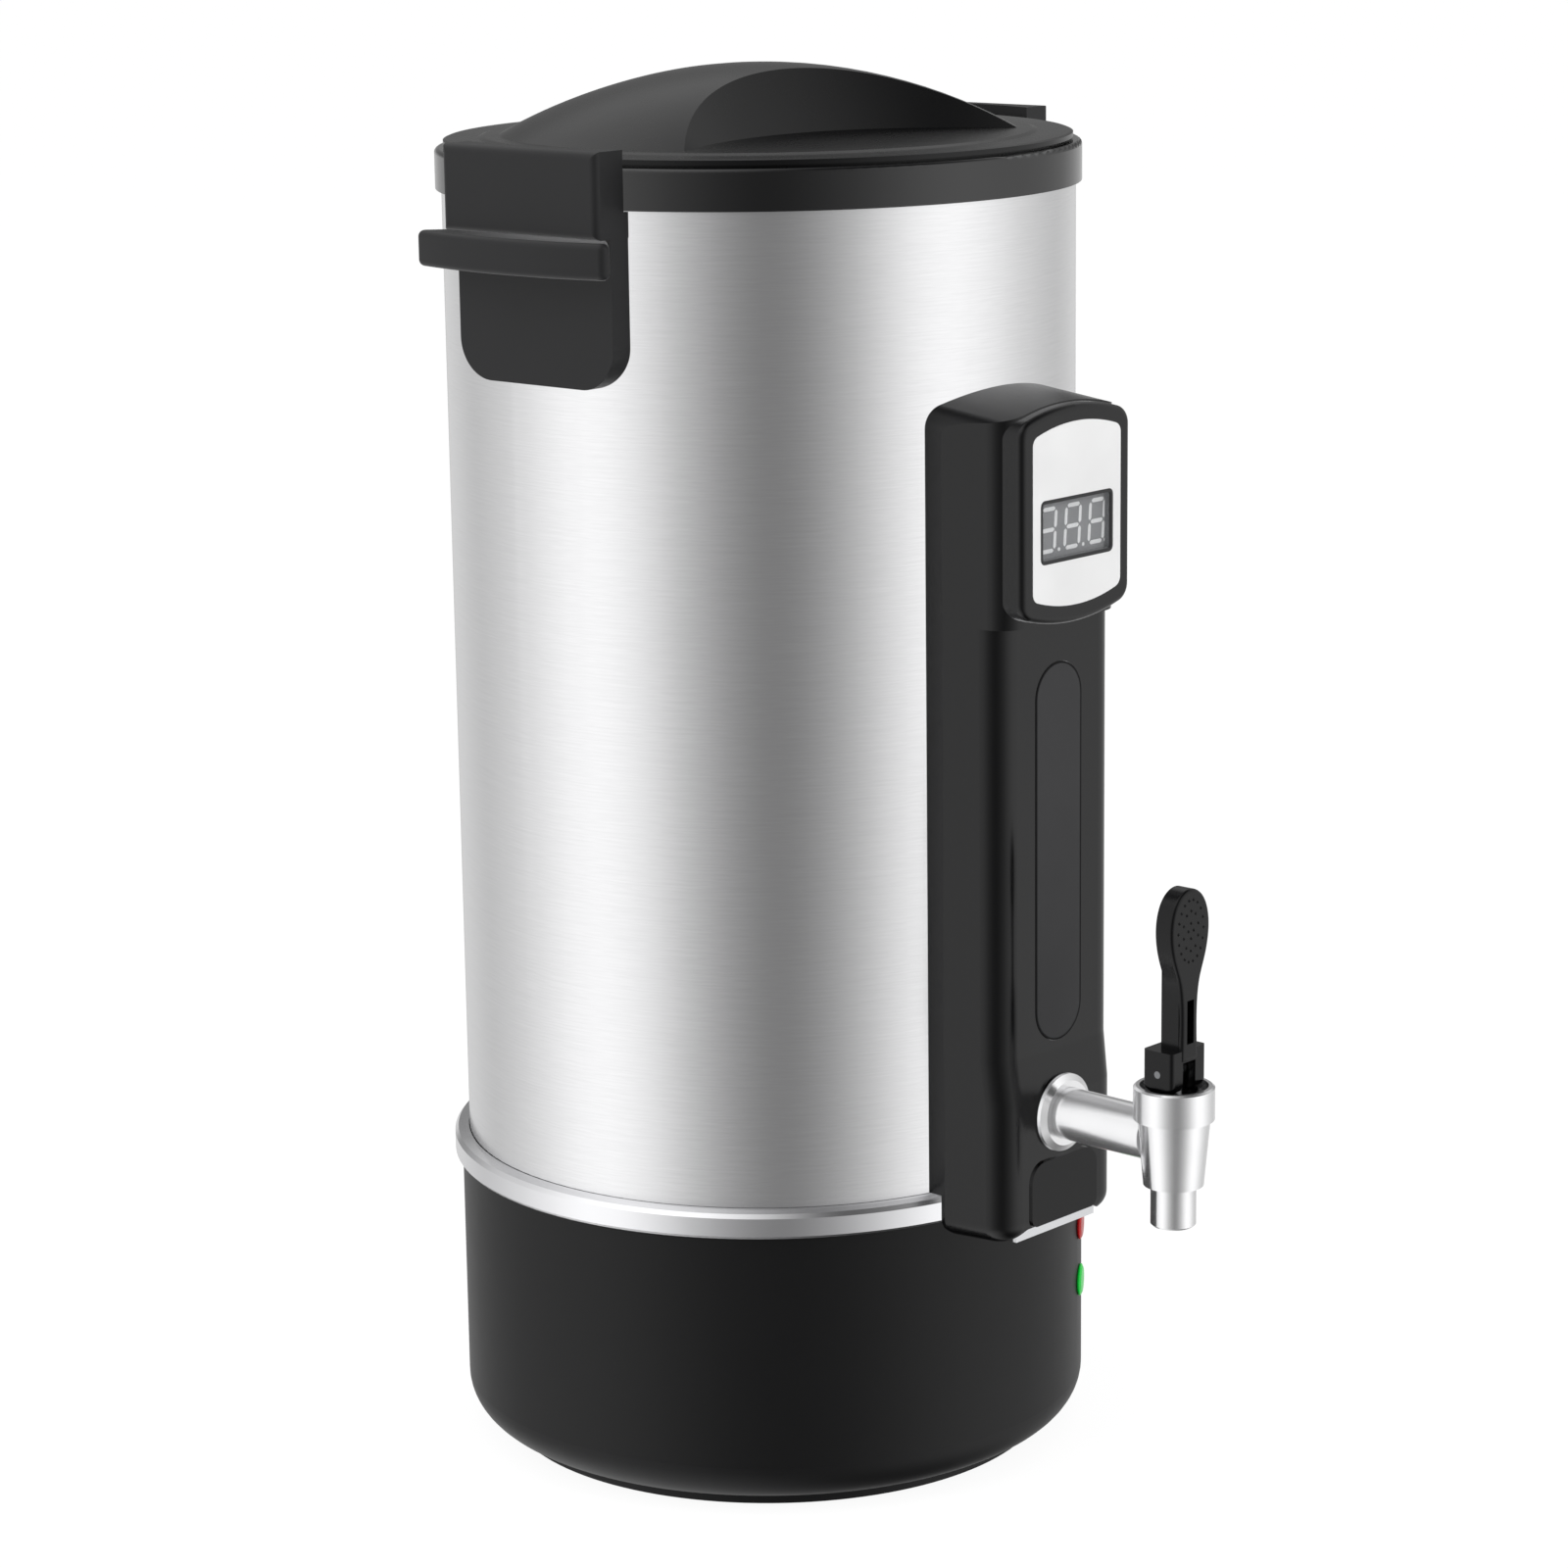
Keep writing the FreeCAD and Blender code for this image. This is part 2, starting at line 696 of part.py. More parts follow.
def make_bottom_cover():
    disc = cylinder("cover_disc", "cover_radius", "cover_thickness")
    tools = []
    for angle in CORNERS:
        on_screw = around("cover_screw_circle", angle)
        tools.append(cylinder(f"cover_sink_{angle}", HEAD_CLEARANCE, "head_height + fit", **on_screw))
        tools.append(cylinder(f"cover_hole_{angle}", SCREW_HOLE, "cover_thickness", **on_screw))
        tools.append(cylinder(f"pad_recess_{angle}", "pad_radius + fit", "pad_thickness",
                              **around("pad_circle", angle)))
    return piece("bottom_cover", cut("bottom_cover", disc, tools))


def make_anti_slip_pads():
    pads = [cylinder(f"pad_{angle}", "pad_radius", "pad_thickness", **around("pad_circle", angle))
            for angle in CORNERS]
    return piece("anti_slip_pads", group("anti_slip_pads", pads))


def make_cover_screws():
    screws = [screw(f"cover_screw_{angle}", "screw_length - head_height - fit",
                    z="head_height + fit", **around("cover_screw_circle", angle)) for angle in CORNERS]
    return piece("cover_screws", group("cover_screws", screws))


# ------------------------------------------------------------------ trim ring, shell, pot, collar

def make_trim_ring():
    """Polished ring that covers the joint of tub and shell."""
    inside = "(shell_radius + fit)"
    body = revolved("ring_body", [
        (inside, "tub_height"),
        ("ring_radius - 0.7", "tub_height"),
        ("ring_radius", "tub_height + 0.9"),
        ("ring_radius", "tub_height + ring_height - 2.2"),
        ("ring_radius - 1.2", "tub_height + ring_height - 0.8"),
        (f"{inside} + 1.2", "tub_height + ring_height - 0.2"),
        (inside, "tub_height + ring_height"),
    ])
    return piece("trim_ring", cut("trim_ring", body, [bracket_pilot("ring_bracket_pilot")]))


def make_outer_shell():
    """Brushed steel wall, with holes for the tap, the column screws and the handle screws."""
    wall = tube("shell_body", "shell_radius", SHELL_INSIDE, "tub_height", SHELL_TOP)
    tap_hole = cylinder("shell_tap_hole", "spacer_radius + fit", "4*column_depth", turn=TOWARD_TAP,
                        y="-shell_radius/2", z=TAP_LEVEL)
    column_holes = [
        cylinder(f"shell_column_hole_{side}_{end}", SCREW_HOLE, "shell_radius", turn=TOWARD_TAP,
                 x=f"{side}*column_screw_spacing/2", y="-shell_radius/2", z=f"column_screw_{end}")
        for side in (-1, 1) for end in ("low", "high")
    ]
    handle_holes = [
        cylinder(f"shell_handle_hole_{side}", SCREW_HOLE, "4*shell_radius", turn=handle_facing(1),
                 **beside_handle("-2*shell_radius", f"{side}*handle_screw_spacing/2"))
        for side in (-1, 1)
    ]
    return piece("outer_shell", cut("outer_shell", wall, [tap_hole] + column_holes + handle_holes))


def make_inner_pot():
    """Drawn pot that holds the wax: its rim rests on the shell, its stud carries the heater."""
    pot = revolved("pot_body", [
        ("0", POT_BASE),
        (POT_OUTSIDE, POT_BASE),
        (POT_OUTSIDE, SHELL_TOP),
        ("shell_radius", SHELL_TOP),
        ("shell_radius", POT_RIM),
        ("pot_radius", POT_RIM),
        ("pot_radius", POT_FLOOR),
        ("0", POT_FLOOR),
    ])
    body_rounded(pot, "pot_corner", circle_at(POT_OUTSIDE, POT_BASE))
    body_rounded(pot, "pot_corner - pot_wall", circle_at("pot_radius", POT_FLOOR))
    stud_foot = f"{RETAINER_FOOT} - nut_height - 2"
    stud = cylinder("pot_stud", "stud_radius", f"{POT_FLOOR} - pot_wall/2 - ({stud_foot})", z=stud_foot)
    drain = cylinder("pot_drain", "pipe_radius + running_gap", "pot_radius", turn=TOWARD_TAP,
                     y="-pot_radius/2", z=TAP_LEVEL)
    return piece("inner_pot", cut("inner_pot", fuse("pot_and_stud", [pot, stud]), [drain]))


def make_insulation_sleeve():
    low = f"{POT_FLOOR} + sleeve_start"
    high = f"{SHELL_TOP} - sleeve_end"
    inside = f"({POT_OUTSIDE} + fit)"
    return piece("insulation_sleeve", tube("insulation_sleeve", f"{inside} + sleeve_thickness", inside, low, high))


def make_rim_collar():
    """Gloss black ring over the rim: a skirt outside the shell and a web on the pot's rim."""
    inside = "(shell_radius + fit)"
    collar = revolved("rim_collar", [
        ("collar_opening", POT_RIM),
        (inside, POT_RIM),
        (inside, COLLAR_FOOT),
        ("collar_radius", COLLAR_FOOT),
        ("collar_radius", COLLAR_TOP),
        ("collar_opening", COLLAR_TOP),
    ])
    body_rounded(collar, "1.6", circle_at("collar_radius", COLLAR_TOP))
    return piece("rim_collar", collar)


# ------------------------------------------------------------------ heater stack

def make_heater_plate():
    return piece("heater_plate", tube("heater_plate", "plate_radius", "stud_radius + fit", PLATE_FOOT, POT_BASE))


def make_heating_element():
    """Open ring of sheathed tube with two cold ends that turn down."""
    ring = doc.addObject("Part::Torus", "element_ring")
    bind(ring, Radius1="element_circle", Radius2="element_radius", Angle3="element_sweep")
    place(ring, z=ELEMENT_LEVEL)
    tails = [
        cylinder(f"element_tail_{name}", "element_radius", "element_tail",
                 z=f"{ELEMENT_LEVEL} - element_tail", **around("element_circle", angle))
        for name, angle in (("start", "0"), ("end", "element_sweep"))
    ]
    knees = []
    for name, angle in (("start", "0"), ("end", "element_sweep")):
        knee = doc.addObject("Part::Sphere", f"element_knee_{name}")
        bind(knee, Radius="element_radius")
        knees.append(place(knee, z=ELEMENT_LEVEL, **around("element_circle", angle)))
    return piece("heating_element", fuse("heating_element", [ring] + tails + knees))


def make_element_retainer():
    """Steel disc that the nut on the pot's stud draws up against the element."""
    disc = tube("retainer_disc", "retainer_radius", "stud_radius + fit", RETAINER_FOOT, RETAINER_TOP)
    slots = [
        cylinder(f"retainer_slot_{name}", "element_radius + fit", "4*retainer_thickness",
                 z=f"{RETAINER_FOOT} - retainer_thickness", **around("element_circle", angle))
        for name, angle in (("start", "0"), ("end", "element_sweep"))
    ]
    return piece("element_retainer", cut("element_retainer", disc, slots))


def hex_nut(name, circumradius, height, bore, turn=UPRIGHT, **at):
    prism = doc.addObject("Part::Prism", f"{name}_prism")
    prism.Polygon = 6
    bind(prism, Circumradius=circumradius, Height=height)
    hole = cylinder(f"{name}_bore", bore, height, turn=turn, **at)
    return cut(name, place(prism, turn=turn, **at), [hole])


def make_retainer_nut():
    nut = hex_nut("retainer_nut", "nut_radius", "nut_height", "stud_radius + running_gap",
                  z=f"{RETAINER_FOOT} - nut_height")
    return piece("retainer_nut", nut)


def make_thermal_cutout():
    """Snap disc thermostat screwed under the retainer, with two flat terminals."""
    foot = f"({RETAINER_FOOT} - cutout_height)"
    can = cylinder("cutout_can", "cutout_radius", "cutout_height", y="cutout_circle", z=foot)
    tabs = [
        box(f"cutout_tab_{side}", (f"{side}*4 - 0.4", f"{side}*4 + 0.4"),
            ("cutout_circle - 3", "cutout_circle + 3"), (f"{foot} - 7", f"{foot} + 1"))
        for side in (-1, 1)
    ]
    return piece("thermal_cutout", fuse("thermal_cutout", [can] + tabs))


def make_temperature_probe():
    """Bead sensor in a small can, clipped upright against the pot."""
    distance = f"({POT_OUTSIDE} + fit + probe_radius)"
    can = cylinder("temperature_probe", "probe_radius", "probe_length",
                   **radial_place(distance, "probe_azimuth", f"{POT_FLOOR} + 2*pot_corner"))
    return piece("temperature_probe", can)


# ------------------------------------------------------------------ side handles

def handle_facing(side):
    """The turn that takes Z to the outward direction of the handle on that side."""
    lean = FreeCAD.Rotation(FreeCAD.Vector(0, 0, 1), number("handle_turn"))
    return lean * (TOWARD_RIGHT if side > 0 else TOWARD_LEFT)


def beside_handle(outward, across):
    """A place on the right handle's own line: how far out and how far across from it."""
    return {"x": f"({outward})*cos(handle_turn) - ({across})*sin(handle_turn)",
            "y": f"({outward})*sin(handle_turn) + ({across})*cos(handle_turn)",
            "z": HANDLE_SCREW_LEVEL}


def make_handle(label, half_turn):
    """Block over the collar, curved grip ledge below it and a flap on the shell, in one moulding."""
    block = box(f"{label}_block", ("shell_radius/2", "handle_reach"),
                ("-handle_half_width", "handle_half_width"), (HANDLE_BLOCK_FOOT, HANDLE_TOP))
    block = part_rounded(f"{label}_block_round", block, "handle_round", on_level("X", "handle_reach"))
    flap = box(f"{label}_flap", ("shell_radius/2", "flap_reach"),
               ("-flap_half_width", "flap_half_width"),
               (f"{HANDLE_BLOCK_FOOT} - flap_height", f"{HANDLE_BLOCK_FOOT} + handle_round"))
    foot = on_level("Z", f"{HANDLE_BLOCK_FOOT} - flap_height")
    flap = part_rounded(f"{label}_flap_round", flap, "flap_corner",
                        lambda edge: foot(edge) and along("X")(edge))
    drum = cylinder(f"{label}_wing_drum", "wing_curve", "wing_thickness",
                    x="wing_reach - wing_curve", z=WING_FOOT)
    apex = "(flap_reach - flap_half_width + 1)"
    spread = f"(wing_reach + 5 - {apex})"
    fan = padded(f"{label}_wing_fan", "XY_Plane", [
        (apex, "0"), (f"{apex} + {spread}", f"-{spread}"), (f"{apex} + {spread}", spread),
    ], "wing_thickness", z=WING_FOOT)
    wing = common(f"{label}_wing", [drum, fan])
    wing = part_rounded(f"{label}_wing_tips", wing, "wing_corner",
                        lambda edge: along("Z")(edge) and edge.BoundBox.XMin > number("flap_reach"))
    wing = part_rounded(f"{label}_wing_round", wing, "wing_round",
                        lambda edge: edge.BoundBox.ZLength < FACE_TOLERANCE)
    solid = fuse(f"{label}_solid", [block, flap, wing])
    shell_side = cylinder(f"{label}_shell_side", "shell_radius + fit", "2*flap_height + handle_block_height",
                          z=f"{HANDLE_BLOCK_FOOT} - 2*flap_height")
    collar_side = cylinder(f"{label}_collar_side", "collar_radius + fit", "2*handle_block_height",
                           z=f"{COLLAR_FOOT} - fit")
    pilots = [
        cylinder(f"{label}_pilot_{side}", PILOT_HOLE, f"screw_length + 2 + shell_radius/2", turn=TOWARD_RIGHT,
                 x="shell_radius/2", y=f"{side}*handle_screw_spacing/2", z=HANDLE_SCREW_LEVEL)
        for side in (-1, 1)
    ]
    handle = cut(label, solid, [shell_side, collar_side] + pilots)
    turn = FreeCAD.Rotation(FreeCAD.Vector(0, 0, 1), number("handle_turn") + half_turn)
    handle.Placement = FreeCAD.Placement(FreeCAD.Vector(), turn)
    return piece(label, handle)


def make_handle_screws():
    """Screws driven outward from inside the shell into both handles."""
    seat = f"({SHELL_INSIDE} - 2.4)"
    screws = [
        screw(f"handle_screw_{side}_{row}", "screw_length", turn=handle_facing(side),
              **beside_handle(f"{side}*{seat}", f"{row}*handle_screw_spacing/2"))
        for side in (1, -1) for row in (-1, 1)
    ]
    return piece("handle_screws", group("handle_screws", screws))


# ------------------------------------------------------------------ lid

def make_scoop(name, side, inset):
    """Cone that scoops one side of the dome; inset moves its wall into the ridge."""
    foot = f"({COLLAR_TOP} - lid_wall)"
    slope = "(scoop_draft/dome_rise)"
    low_radius = f"(scoop_radius + {inset} - {slope}*({DOME_TOP} - {foot}))"
    cone = doc.addObject("Part::Cone", name)
    bind(cone, Radius1=low_radius, Radius2=f"{low_radius} + 2*scoop_draft", Height="2*dome_rise")
    return place(cone, y=f"{side}*(ridge_half_width + scoop_radius)", z=foot)


def make_ridge(name, inset, foot):
    """The dome with a scoop taken from its front and its rear, shrunk all over by an inset."""
    ball = doc.addObject("Part::Sphere", f"{name}_ball")
    bind(ball, Radius=f"dome_curve - {inset}")
    place(ball, z=f"{DOME_TOP} - dome_curve")
    drum = cylinder(f"{name}_drum", f"dome_radius - {inset}", "2*dome_rise", z=foot)
    dome = common(f"{name}_dome", [ball, drum])
    return cut(f"{name}_ridge", dome, [make_scoop(f"{name}_scoop_{side}", side, inset) for side in (-1, 1)])


def lid_piece(label, thing):
    """A piece of the lid, turned about the main axis with the rest of the lid."""
    turn = FreeCAD.Rotation(FreeCAD.Vector(0, 0, 1), number("lid_turn"))
    thing.Placement = FreeCAD.Placement(FreeCAD.Vector(), turn)
    return piece(label, thing)


def make_lid_shell():
    """Hollow lid cover: flange over the collar, seat ring on it, low crown and grip ridge."""
    crown = revolved("lid_crown", [
        ("0", COLLAR_TOP),
        ("seat_radius", COLLAR_TOP),
        ("seat_radius", LID_FOOT),
        ("lid_radius", LID_FOOT),
        ("lid_radius", f"{LID_TOP} - 0.4"),
        ("lid_radius - 1", LID_TOP),
        ("dome_radius + 3", f"{LID_TOP} + 0.2"),
        ("dome_radius + 1", f"{LID_TOP} + 0.8"),
        ("dome_radius/2", f"{LID_TOP} + lid_rise - 0.8"),
        ("0", f"{LID_TOP} + lid_rise"),
    ])
    outside = fuse("lid_outside", [crown, make_ridge("lid_outer", "0", COLLAR_TOP)])
    hollow = revolved("lid_hollow", [
        ("0", f"{COLLAR_TOP} - 1"),
        ("seat_radius - seat_width", f"{COLLAR_TOP} - 1"),
        ("seat_radius - seat_width", f"{LID_TOP} - lid_wall/2"),
        ("dome_radius - lid_wall", f"{LID_TOP} + 0.8 - lid_wall"),
        ("dome_radius/2", f"{LID_TOP} + lid_rise - 0.8 - lid_wall"),
        ("0", f"{LID_TOP} + lid_rise - lid_wall"),
    ])
    inside = fuse("lid_inside", [hollow, make_ridge("lid_inner", "lid_wall", f"{COLLAR_TOP} - 1")])
    cover = cut("lid_cover", outside, [inside])
    boss_foot = f"({LINER_FOOT} + liner_wall)"
    bosses = [
        cylinder(f"lid_boss_{angle}", "lid_boss_radius", f"{LID_TOP} + lid_rise/4 - {boss_foot}", z=boss_foot,
                 **around("lid_boss_circle", angle)) for angle in CORNERS
    ]
    pilots = [
        cylinder(f"lid_pilot_{angle}", PILOT_HOLE, "screw_length", z=f"{boss_foot} - 1",
                 **around("lid_boss_circle", angle)) for angle in CORNERS
    ]
    return lid_piece("lid_shell", cut("lid_shell", fuse("lid_with_bosses", [cover] + bosses), pilots))


def make_lid_liner():
    """Steel pan under the lid that plugs the pot and carries the gasket."""
    skirt_inside = "(liner_radius - liner_wall)"
    pan = revolved("liner_pan", [
        ("0", LINER_FOOT),
        ("liner_radius", LINER_FOOT),
        ("liner_radius", f"{COLLAR_TOP} - liner_wall"),
        ("liner_flange", f"{COLLAR_TOP} - liner_wall"),
        ("liner_flange", COLLAR_TOP),
        (skirt_inside, COLLAR_TOP),
        (skirt_inside, f"{LINER_FOOT} + liner_wall"),
        ("0", f"{LINER_FOOT} + liner_wall"),
    ])
    holes = [cylinder(f"liner_hole_{angle}", SCREW_HOLE, "4*liner_wall", z=f"{LINER_FOOT} - liner_wall",
                      **around("lid_boss_circle", angle)) for angle in CORNERS]
    return lid_piece("lid_liner", cut("lid_liner", pan, holes))


def make_lid_gasket():
    """Silicone ring on the liner's skirt, just clear of the pot wall."""
    middle = f"({LINER_FOOT} + liner_depth/2)"
    ring = tube("lid_gasket", "pot_radius - fit", "liner_radius + running_gap",
                f"{middle} - gasket_height/2", f"{middle} + gasket_height/2")
    return piece("lid_gasket", ring)


def make_lid_screws():
    screws = [screw(f"lid_screw_{angle}", "screw_length - head_height", z=LINER_FOOT,
                    **around("lid_boss_circle", angle)) for angle in CORNERS]
    return lid_piece("lid_screws", group("lid_screws", screws))


# ------------------------------------------------------------------ control column

def column_plan(name, inset, face):
    """The column seen from above: side walls that draw in toward a rounded front."""
    half = f"(column_half_width - {inset})"
    front_half = f"({half} - column_taper*({face} - shell_radius - 2))"
    plan = padded(f"{name}_plan", "XY_Plane", [
        (f"-{half}", "-shell_radius/2"),
        (f"-{half}", "-(shell_radius + 2)"),
        (f"-{front_half}", f"-({face})"),
        (front_half, f"-({face})"),
        (half, "-(shell_radius + 2)"),
        (half, "-shell_radius/2"),
    ], "column_height + 20", z="column_start - 10")
    corner = on_level("Y", f"-({face})")
    return body_rounded(plan, f"column_corner - {inset}", lambda edge: corner(edge) and along("Z")(edge))


def column_front(name, inset):
    """The column seen from the front: straight sides and an arched top that leans forward."""
    half = f"(column_half_width - {inset})"
    low = f"(column_start + {inset})"
    reach = f"({HEAD_FACE} + column_wall)"
    slab = box(f"{name}_slab", (f"-{half}", half), (f"-{reach}", "-shell_radius/2"), (low, f"{COLUMN_TOP} + 20"))
    radius = f"(column_arch - {inset})"
    lean = FreeCAD.Rotation(FreeCAD.Vector(1, 0, 0), 90 + number("column_tilt"))
    arch = cylinder(f"{name}_arch", radius, "2*shell_radius", turn=lean,
                    y="-shell_radius + shell_radius*cos(column_tilt) + column_arch*sin(column_tilt)",
                    z=f"{COLUMN_TOP} + shell_radius*sin(column_tilt) - column_arch*cos(column_tilt)")
    above = box(f"{name}_above", (f"-2*{half}", f"2*{half}"), (f"-2*{reach}", "0"),
                (f"{COLUMN_TOP} - column_arch/2", f"{COLUMN_TOP} + 40"))
    front = cut(f"{name}_arched", slab, [cut(f"{name}_off", above, [arch])])
    size = number(half)

    def shoulder(edge):
        bounds = edge.BoundBox
        on_side = bounds.XLength < FACE_TOLERANCE and abs(abs(bounds.XMin) - size) < FACE_TOLERANCE
        return on_side and bounds.ZMin > number("rim_middle") and bounds.YLength > bounds.ZLength

    return part_rounded(f"{name}_shoulders", front, f"column_shoulder - {inset}", shoulder)


def column_foot(name, inset, blank):
    """Rounds the column's lower edge, all but its back."""
    foot = on_level("Z", f"column_start + {inset}")
    return part_rounded(name, blank, f"column_foot_round - {inset}",
                        lambda edge: foot(edge) and edge.BoundBox.YMin < -number("shell_radius/2") - 1)


def column_outside():
    """The column's outer form: the shaft, the foot that swells forward and the step behind the display."""
    shaft = column_plan("column_shaft", "0", COLUMN_FACE)
    swell = column_plan("column_swell", "0", FOOT_FACE)
    foot_span = box("column_foot_span", ("-column_half_width", "column_half_width"),
                    (f"-{HEAD_FACE}", "-shell_radius/2"), ("column_start", "foot_swell_low"))
    foot = column_foot("column_foot", "0", common("column_foot_blank", [swell, foot_span]))
    rest = box("column_rest_span", ("-column_half_width", "column_half_width"),
               (f"-{HEAD_FACE}", "-shell_radius/2"), ("foot_swell_low", f"{COLUMN_TOP} + 40"))
    doc.recompute()
    upward = FreeCAD.Vector(0, 0, 1)
    sections = [plan.Shape.slice(upward, number(level))[0]
                for plan, level in ((swell, "foot_swell_low"), (shaft, "foot_swell_high"))]
    blend = doc.addObject("Part::Feature", "column_blend")
    blend.Shape = Part.makeLoft(sections, True, True)
    step = common("column_step", [
        column_plan("column_step", "0", f"{COLUMN_FACE} + head_step"),
        box("column_step_span", ("-column_half_width", "column_half_width"), (f"-{HEAD_FACE}", "-shell_radius"),
            ("head_step_start", f"{COLUMN_TOP} + 40")),
    ])
    body = fuse("column_body", [common("column_rest", [shaft, rest]), foot, blend, step])
    return common("column_outer_form", [body, column_front("column_outer", "0")])


def rim_form(name, inset, front, back):
    """Block behind the display label: straight sides, arched top and bottom, rounded corners."""
    half = f"(rim_half_width - {inset})"
    half_height = f"(rim_half_height - {inset})"
    slab = box(f"{name}_slab", (f"-{half}", half), (f"-({front})", f"-({back})"),
               (f"rim_middle - {half_height}", f"rim_middle + {half_height}"))
    arches = [
        cylinder(f"{name}_arch_{side}", f"rim_arc - {inset}", f"({front}) - ({back})", turn=TOWARD_TAP,
                 y=f"-({back})", z=f"rim_middle + {side}*(rim_half_height - rim_arc)")
        for side in (-1, 1)
    ]
    size = number(half)
    block = part_rounded(f"{name}_corners", common(f"{name}_blank", [slab] + arches), f"rim_corner - {inset}",
                         lambda edge: along("Y")(edge) and abs(abs(edge.BoundBox.XMin) - size) < FACE_TOLERANCE)
    if inset != "0":
        return block
    return part_rounded(f"{name}_face", block, "column_wall", on_level("Y", f"-({front})"))


def column_outline(name, inset):
    """The column's cavity: the shaft shrunk by a wall."""
    blank = common(f"{name}_blank", [column_plan(name, inset, f"({COLUMN_FACE} - {inset})"),
                                     column_front(name, inset)])
    return column_foot(f"{name}_form", inset, blank)


def label_form(name, grow, front, back):
    """Label outline: straight sides, arched top and bottom, rounded corners, between two distances from the axis."""
    half_height = f"(label_half_height + {grow})"
    depth = f"({front}) - ({back})"
    slab = box(f"{name}_slab", (f"-(label_half_width + {grow})", f"label_half_width + {grow}"),
               (f"-({front})", f"-({back})"),
               (f"label_middle - {half_height}", f"label_middle + {half_height}"))
    arches = [
        cylinder(f"{name}_arch_{side}", "label_arc", depth, turn=TOWARD_TAP, y=f"-({back})",
                 z=f"label_middle + {side}*({half_height} - label_arc)")
        for side in (-1, 1)
    ]
    size = number(f"label_half_width + {grow}")
    return part_rounded(name, common(f"{name}_sharp", [slab] + arches), f"label_corner + {grow}",
                        lambda edge: along("Y")(edge) and abs(abs(edge.BoundBox.XMin) - size) < FACE_TOLERANCE)


def window_form(name, grow, front, back):
    """Window outline with rounded corners, between two distances from the axis."""
    sharp = box(f"{name}_sharp", (f"-(window_half_width + {grow})", f"window_half_width + {grow}"),
                (f"-({front})", f"-({back})"),
                (f"window_middle - window_half_height - {grow}", f"window_middle + window_half_height + {grow}"))
    return part_rounded(name, sharp, f"window_corner + {grow}", along("Y"))


def inlay_form(name, grow, front, back):
    """Upright stadium between two distances from the axis."""
    radius = f"(inlay_half_width + {grow})"
    depth = f"({front}) - ({back})"
    low, high = "(inlay_start + inlay_half_width)", "(inlay_start + inlay_height - inlay_half_width)"
    ends = [cylinder(f"{name}_{end}", radius, depth, turn=TOWARD_TAP, y=f"-({back})", z=level)
            for end, level in (("low", low), ("high", high))]
    bar = box(f"{name}_bar", (f"-{radius}", radius), (f"-({front})", f"-({back})"), (low, high))
    return fuse(name, [bar] + ends)


def cover_pad_form(name, grow, front, back):
    """Pad outline: a rounded rectangle with wider corners at the top."""
    half = f"(cover_pad_half_width + {grow})"
    low, high = f"(cover_pad_start - {grow})", f"(cover_pad_start + cover_pad_height + {grow})"
    slab = box(f"{name}_slab", (f"-{half}", half), (f"-({front})", f"-({back})"), (low, high))
    top, foot = on_level("Z", high), on_level("Z", low)
    slab = part_rounded(f"{name}_top", slab, f"max(cover_pad_top_corner + {grow}; 1)",
                        lambda edge: top(edge) and along("Y")(edge))
    return part_rounded(name, slab, f"max(cover_pad_low_corner + {grow}; 1)",
                        lambda edge: foot(edge) and along("Y")(edge))


def column_screw_places():
    return [(side, end) for side in (-1, 1) for end in ("low", "high")]


